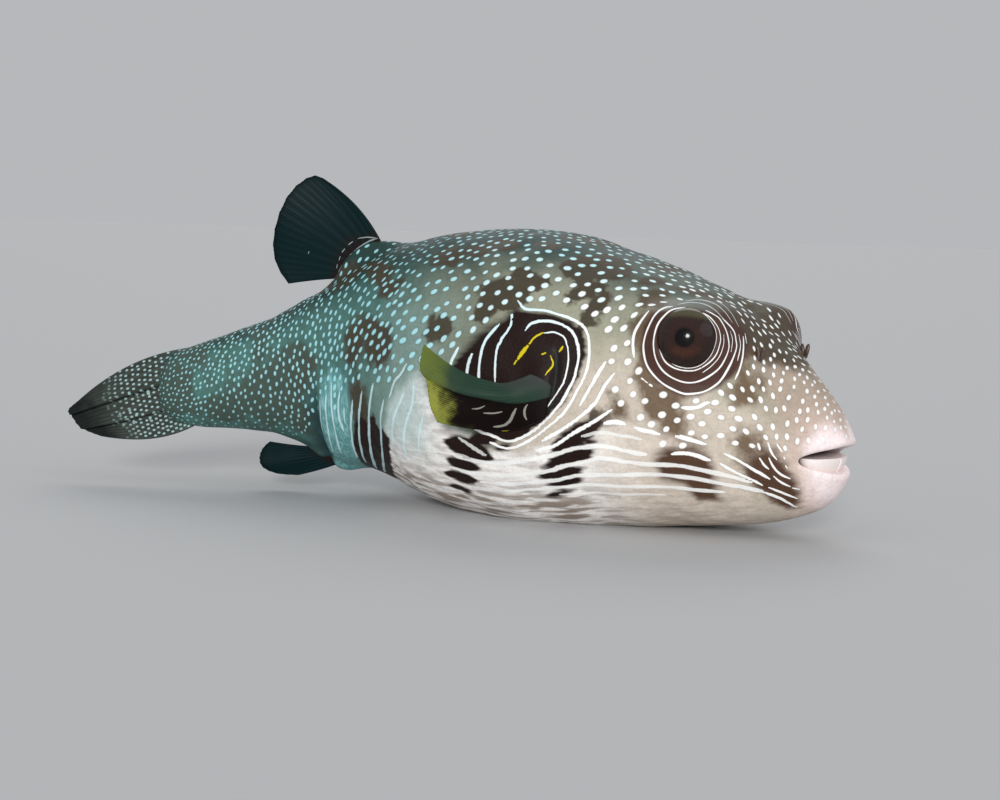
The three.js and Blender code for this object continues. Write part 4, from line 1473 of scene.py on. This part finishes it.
def makeFin(name, kind, surface):
    # both faces in one sheet that starts and ends at the root and turns round at the margin
    rows, columns = kind["rows"], kind["columns"]
    w = np.linspace(-1, 1, 2 * rows + 1)
    w = np.concatenate([[-1], w, [1]])[:, None] * np.ones(columns + 1)
    u = np.linspace(0, 1, columns + 1) * np.ones_like(w)
    v = 1 - np.abs(w) ** leaf["gathering"]
    middle = surface(kind, u, v)
    inner = np.minimum(v, 0.99)
    normal = np.cross(np.gradient(middle, axis=1), surface(kind, u, inner + 0.01) - surface(kind, u, inner))
    normal /= np.maximum(np.linalg.norm(normal, axis=-1, keepdims=True), 1e-9)
    ribs = 0.5 + 0.5 * np.cos(2 * math.pi * kind["rays"] * u)
    branches = 0.5 + 0.5 * np.cos(4 * math.pi * kind["rays"] * u)
    ribs = lerp(ribs, branches, smoothStep(v, *leaf["forks"]))
    half = lerp(*kind["halves"], v) * (leaf["fullness"] + kind["ribbed"] * (ribs - 0.5))
    half = half * np.sqrt(1 - np.abs(2 * u - 1) ** leaf["squareness"])
    half = half * np.sqrt(np.maximum(1 - v ** leaf["squareness"], 0))
    half[[0, -1]] = 0
    points = middle + np.sign(w)[..., None] * half[..., None] * normal
    return makeSheet(name, points), points


finSurfaces = {
    "dorsal_fin": midSurface, "anal_fin": midSurface, "caudal_fin": tailSurface,
    "pectoral_fin_left": lambda kind, u, v: armSurface(kind, u, v, 1),
    "pectoral_fin_right": lambda kind, u, v: armSurface(kind, u, v, -1),
}


def finWays(kind, surface, u, v):
    # unit vectors along the rays and square to the web
    across = surface(kind, u + 0.004, v) - surface(kind, u - 0.004, v)
    along = surface(kind, u, v + 0.004) - surface(kind, u, v - 0.004)
    normals = np.cross(across, along)
    return [way / np.linalg.norm(way, axis=1, keepdims=True) for way in (along, normals)]


def finStroke(marks, kind, surface, places, halfWidth):
    # a stroke along these (across the rays, along the rays) places of a fin
    def onFin(p):
        return surface(kind, p[:, 0], p[:, 1])
    u, v = evenSteps(np.array(places, float), onFin, strokes["step"]).T
    marks.line(surface(kind, u, v), finWays(kind, surface, u, v)[1], halfWidth, kind["tint"])


def dorsalMarks(kind, surface):
    # pale strokes across the rays, parallel with the fin's foot and shorter towards its front edge
    marks = Strokes()
    for start, end, rise, fall, halfWidth in kind["strokes"]:
        path = [(start, rise), ((start + end) / 2, (rise + fall) / 2), (end, fall)]
        finStroke(marks, kind, surface, path, halfWidth)
    return marks


def armMarks(kind, surface):
    # tan strokes that curve down across the lower half, near the root
    marks = Strokes()
    for path, halfWidth in kind["strokes"]:
        finStroke(marks, kind, surface, path, halfWidth)
    return marks


def tailMarks(kind, surface):
    # rows of small dots that fade out two thirds of the way to the margin, and short strokes in the folds
    marks, dots = Strokes(), kind["dots"]
    chance = np.random.default_rng(dots["seed"])
    rows, columns = dots["rows"], dots["columns"]
    sideways, inOut, fading = dots["spread"]
    u = (np.arange(columns) + 0.5) / (columns + 0.5)
    for row in range(rows):
        across = u + (0.5 * (row % 2) + chance.uniform(-sideways, sideways, columns)) / (columns + 0.5)
        v = dots["from"] + dots["depth"] * (row + chance.uniform(-inOut, inOut, columns)) / rows
        fades = 1 - smoothStep(v + chance.uniform(-fading, fading, columns), *dots["fade"])
        ways, normals = finWays(kind, surface, across, v)
        for point, way, normal, fade in zip(surface(kind, across, v), ways, normals, fades):
            tint = (dots["strength"] * float(fade), 0, dots["blueness"])
            if fade > 0.1:
                marks.spot(point, way, np.cross(normal, way), *dots["halves"], tint)
    for fold in kind["folds"]:
        for number in range(kind["foldStrokes"]):
            v = 0.02 + 0.04 * number
            path = [(fold + 0.04, v), (fold + 0.055, v + 0.035), (fold + 0.068, v + 0.075)]
            finStroke(marks, kind, surface, path, 0.24)
    return marks


finColours = asLight({
    "web": (0.01, 0.10, 0.11), "ray": (0.025, 0.12, 0.13), "foot": (0.125, 0.06, 0.055),
    "edge": (0.01, 0.075, 0.085), "tailWeb": (0.19, 0.21, 0.19), "tailRay": (0.25, 0.275, 0.25),
    "tailRoot": (0.265, 0.325, 0.30), "tailTip": (0.10, 0.115, 0.11), "band": (0.165, 0.245, 0.20),
    # painted shade: the near-black of the pectoral fin's lower half
    "bandTip": (0.37, 0.42, 0.19), "armShaded": (0.07, 0.04, 0.035), "armOlive": (0.56, 0.58, 0.25),
    "mark": (0.9, 0.93, 0.92), "bluish": (0.62, 0.80, 0.81), "bandRoot": (0.235, 0.245, 0.24),
    "markTan": (0.66, 0.58, 0.36),
})


def finPaint(name, inks):
    # inks: a function that turns the fin's wires into its colour
    paint, place, shader = newPaint(name, {"Specular IOR Level": 0.07})
    along, across = place.node("UVMap", {"uv_map": "OFBake"}).parts("Red", "Green")
    toMargin = 1 - (2 * along - 1).shaped("ABSOLUTE")
    wide, fine = place.noise(6, 3) - 0.5, place.noise(0.6, 2) - 0.5
    turn = 2 * math.pi * fins[name]["rays"]
    ray = (across * turn + wide * 0.5).shaped("COSINE")
    branch = (across * (2 * turn) + wide * 0.8).shaped("COSINE")
    split = toMargin.between(0.4, 0.8)
    ribs = ray * (1 - split) + branch * split
    hairs = (across * (6 * turn) + wide * 4).shaped("COSINE") * split
    colour = inks(across, toMargin, ribs, wide)
    colour = colour.scaled(1 + fine * 0.2 + hairs * 0.03)
    if name in finMarks:
        edge, strength, yellow, blue = markEdge(place, fine * 0.3)
        mark = edge.between(0.75, 1.25, 1, 0)
        ink = yellow.mix(blue.mix(finColours["mark"], finColours["bluish"]), finColours["markTan"])
        colour = (mark * strength).mix(colour, ink)
    feed(shader, colour, 0.46 + fine * 0.2 - ribs * 0.05)
    feedBump(shader, ribs * 0.06 + hairs * 0.05 + fine * 0.15, 0.25)
    return paint


def webInks(across, toMargin, ribs, wide):
    colour = (ribs * 0.5 + 0.5 + wide * 0.6).mix(finColours["web"], finColours["ray"])
    foot = (toMargin + wide * 0.25).between(0.14, 0.34, 1, 0)
    colour = foot.mix(colour, finColours["foot"])
    rim = (toMargin + wide * 0.1).between(0.86, 1.0)
    return (rim * 0.7).mix(colour, finColours["edge"])


def tailInks(across, toMargin, ribs, wide):
    colour = (ribs * 0.5 + 0.5 + wide * 0.6).mix(finColours["tailWeb"], finColours["tailRay"])
    colour = (toMargin + wide * 0.2).between(0.32, 0.02).mix(colour, finColours["tailRoot"])
    tip = (toMargin + wide * 0.3).between(0.62, 0.9)
    return tip.mix(colour, finColours["tailTip"])


def armInks(across, toMargin, ribs, wide):
    band = (ribs * 0.1 + 0.15).mix(finColours["band"], finColours["web"])
    band = ((toMargin + across * 0.8 + wide * 0.3).between(0.5, 0.1) * 0.8).mix(band, finColours["bandRoot"])
    band = (toMargin + ribs * 0.05 + wide * 0.3).between(0.6, 0.95).mix(band, finColours["bandTip"])
    patchy = (wide * 3 + ribs * 0.25).between(-0.9, 0.2) * 0.6 + 0.4
    olive = (toMargin + ribs * 0.04 + wide * 0.5).between(0.74, 0.97) * patchy
    # painted shade: the lower half, which hangs in shadow under the band, is near-black and the band is its
    # lit side
    lower = olive.mix(finColours["armShaded"], finColours["armOlive"])
    edge = toMargin.between(0, 0.5, *fins["pectoral_fin"]["paintedBand"])
    return (across - edge).between(-0.02, 0.02).mix(band, lower)


finInks = {"dorsal_fin": webInks, "anal_fin": webInks, "caudal_fin": tailInks, "pectoral_fin": armInks}
finMarks = {"dorsal_fin": dorsalMarks, "caudal_fin": tailMarks, "pectoral_fin": armMarks}
finPaints = {name: finPaint(name, inks) for name, inks in finInks.items()}
for name, surface in finSurfaces.items():
    kindName = "pectoral_fin" if name.startswith("pectoral") else name
    kind = fins[kindName]
    fin, finPoints = makeFin(name + "_leaf", kind, surface)
    if kindName in finMarks:
        marks = finMarks[kindName](kind, surface).table()
        paintStrokes(fin, [(finPoints, marks, np.ones(finPoints.shape[:2], bool))])
    fin.data.materials.append(finPaints[kindName])
    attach(fin, "root")
    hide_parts(name)
print("fins made")


# eyes: a glossy ball with a raised clear front over the iris and pupil

eyeball = {
    "segments": 72, "rings": 48, "corneaDegrees": 46, "corneaRise": 0.5,
    "drawnIn": 0.12, "drawnFrom": (52, 80),  # the hidden part, from these degrees off the way it looks
    "pupil": 15.5, "pupilSoft": 3.5,  # degrees
}
eyeColours = asLight({
    "pupil": (0.02, 0.02, 0.025), "inner": (0.19, 0.115, 0.095), "middle": (0.185, 0.12, 0.105),
    "outer": (0.16, 0.12, 0.105), "copper": (0.28, 0.165, 0.12), "lid": (0.30, 0.28, 0.20),
})


def makeEye(name, side):
    centre, facing = eyeAxes(side)
    forward, up = eyeFrame(side)
    body = bmesh.new()
    uv = body.loops.layers.uv.new("OFBake")
    bmesh.ops.create_uvsphere(body, u_segments=eyeball["segments"], v_segments=eyeball["rings"], radius=1)
    for face in body.faces:
        for corner in face.loops:
            x, y, z = corner.vert.co
            off = math.acos(max(-1, min(1, z))) / math.pi / 2
            across = math.hypot(x, y) or 1
            corner[uv].uv = (0.5 + off * x / across, 0.5 + off * y / across)
    clear = eyeball["corneaDegrees"]
    for vertex in body.verts:
        x, y, z = vertex.co
        off = math.degrees(math.acos(max(-1, min(1, z))))
        rise = eyeball["corneaRise"] * smoothStep(clear - off, 0, clear)
        reach = eye["radius"] * (1 - eyeball["drawnIn"] * smoothStep(off, *eyeball["drawnFrom"])) + rise
        vertex.co = posed(centre + reach * (x * forward + y * up + z * facing))
    bmesh.ops.recalc_face_normals(body, faces=body.faces)
    return makePiece(name, body)


def eyePaint():
    gloss = {"Coat Weight": 0.32, "Coat Roughness": 0.05, "Specular IOR Level": 0.08}
    paint, place, shader = newPaint("eye", gloss)
    dial = place.node("UVMap", {"uv_map": "OFBake"}) - (0.5, 0.5, 0)
    off = dial.length() * 360  # degrees away from the way it looks
    up = dial.node("SeparateXYZ", None, {0: dial}, "Y") * 360
    spokes = (dial.node("VectorMath", {"operation": "NORMALIZE"}, {0: dial}) * mm).noise(0.075, 3) - 0.5
    fine = place.noise(0.7, 3) - 0.5
    colour = (off + spokes * 6).between(16, 24).mix(eyeColours["inner"], eyeColours["middle"])
    colour = (off + spokes * 5).between(26, 44).mix(colour, eyeColours["outer"])
    glow = (up * -1 + spokes * 10).between(6, 26) * off.between(40, 24)
    colour = (glow * 0.75).mix(colour, eyeColours["copper"])
    colour = colour.scaled(1 + spokes * 0.9 + fine * 0.5)
    lid = (up + fine * 5).between(30, 44)
    colour = lid.mix(colour, eyeColours["lid"])
    soft = eyeball["pupilSoft"]
    pupil = (off + fine * 2).between(eyeball["pupil"] - soft, eyeball["pupil"] + soft, 1, 0)
    colour = pupil.mix(colour, eyeColours["pupil"])
    feed(shader, colour, 0.22 + fine * 0.1)
    return paint


eyePaintMade = eyePaint()
for name, side in sides.items():
    ball = makeEye("eyeball_" + name, side)
    ball.data.materials.append(eyePaintMade)
    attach(ball, "root")
    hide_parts("eye_" + name)
print("eyes made")


# beak: four plates that meet at the middle of the mouth

beak = {
    "centre": (-11.2, 0, 30.6), "radii": (7, 14.5, 7.5), "segments": 56, "rings": 40,
    "lowerEdge": 30.6, "upperEdge": 34.4, "parting": 0.22,
    "bevel": 0.45, "sharp": 0.7,  # edges that turn by more radians than this are bevelled
}
beakColours = asLight({"ivory": (0.985, 0.95, 0.935), "band": (0.95, 0.90, 0.885)})


def makePlate(name, side, upper):
    body = bmesh.new()
    bmesh.ops.create_uvsphere(body, u_segments=beak["segments"], v_segments=beak["rings"], radius=1)
    bmesh.ops.scale(body, verts=body.verts, vec=beak["radii"])
    bmesh.ops.translate(body, verts=body.verts, vec=beak["centre"])
    way = 1 if upper else -1
    edge = beak["upperEdge"] if upper else beak["lowerEdge"]
    cuts = [((0, 0, edge), (0, 0, -way)), ((0, side * beak["parting"], 0), (0, -side, 0))]
    for place, normal in cuts:
        whole = body.verts[:] + body.edges[:] + body.faces[:]
        cut = bmesh.ops.bisect_plane(body, geom=whole, plane_co=place, plane_no=normal, clear_outer=True)
        rim = [part for part in cut["geom_cut"] if isinstance(part, bmesh.types.BMEdge)]
        bmesh.ops.holes_fill(body, edges=rim, sides=0)
    sharp = [e for e in body.edges if len(e.link_faces) == 2 and e.calc_face_angle(0) > beak["sharp"]]
    bmesh.ops.bevel(
        body, geom=sharp, offset=beak["bevel"], segments=3, profile=0.5, affect="EDGES", material=-1
    )
    bmesh.ops.triangulate(body, faces=[face for face in body.faces if len(face.verts) > 4])
    for vertex in body.verts:
        vertex.co = posed(np.array(vertex.co))
    bmesh.ops.recalc_face_normals(body, faces=body.faces)
    return makePiece(name, body)


def beakPaint():
    paint, place, shader = newPaint("beak", {"Coat Weight": 0.35, "Coat Roughness": 0.15})
    bands = (place * (1.0, 0.5, 3.0)).noise(1.4, 3) - 0.5
    fine = place.noise(0.5, 2) - 0.5
    colour = (bands * 2 + 0.5).mix(beakColours["ivory"], beakColours["band"])
    feed(shader, colour.scaled(1 + fine * 0.08), 0.3 + bands * 0.2)
    feedBump(shader, bands + fine * 0.2, 0.15)
    return paint


beakPaintMade = beakPaint()
for name, side in sides.items():
    for jaw, upper in (("upper", True), ("lower", False)):
        plate = makePlate("beak_plate_" + jaw + "_" + name, side, upper)
        plate.data.materials.append(beakPaintMade)
        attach(plate, "root")
        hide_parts("beak_" + jaw + "_" + name)
print("beak made")


# nose flaps: a forked flap of soft skin on each side of the snout

noseFlap = {
    "place": (-28.5, 18, 64.5), "radii": (0.85, 0.6, 2.8), "lift": 1.7, "spread": 0.42, "lean": 9,
    "curl": 0.05, "widening": 0.25, "segments": 20, "rings": 16,
}
flapColours = asLight({"dark": (0.16, 0.11, 0.09), "light": (0.36, 0.27, 0.21)})


def makeFlap(name, side):
    body = bmesh.new()
    for lobe in (-1, 1):
        made = bmesh.ops.create_uvsphere(
            body, u_segments=noseFlap["segments"], v_segments=noseFlap["rings"], radius=1
        )["verts"]
        bmesh.ops.scale(body, verts=made, vec=noseFlap["radii"])
        for vertex in made:
            height = vertex.co.z / noseFlap["radii"][2]
            vertex.co.x *= 1 + noseFlap["widening"] * height
            vertex.co.y += side * noseFlap["curl"] * vertex.co.z**2
        bmesh.ops.rotate(
            body, verts=made, cent=(0, 0, -noseFlap["radii"][2]),
            matrix=Matrix.Rotation(math.radians(noseFlap["lean"] * lobe), 3, "Y"),
        )
        bmesh.ops.translate(body, verts=made, vec=(lobe * noseFlap["spread"], 0, noseFlap["lift"]))
    for vertex in body.verts:
        x, y, z = noseFlap["place"]
        vertex.co = posed(np.array(vertex.co) + (x, side * y, z))
    bmesh.ops.recalc_face_normals(body, faces=body.faces)
    return makePiece(name, body)


def flapPaint():
    paint, place, shader = newPaint("nose flap", {"Coat Weight": 0.15, "Coat Roughness": 0.3})
    blotch, fine = place.noise(2, 3), place.noise(0.4, 2) - 0.5
    colour = blotch.mix(flapColours["dark"], flapColours["light"])
    feed(shader, colour.scaled(1 + fine * 0.4), 0.42 + fine * 0.2)
    feedBump(shader, blotch + fine * 0.4, 0.2)
    return paint


flapPaintMade = flapPaint()
for name, side in sides.items():
    flap = makeFlap("nose_tentacle_" + name, side)
    flap.data.materials.append(flapPaintMade)
    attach(flap, "root")
    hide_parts("nose_flap_" + name)
print("nose flaps made")

for name, box in {"cad": cadBox, "visual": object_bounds()}.items():
    print(name, [[round(float(v), 4) for v in corner] for corner in box])
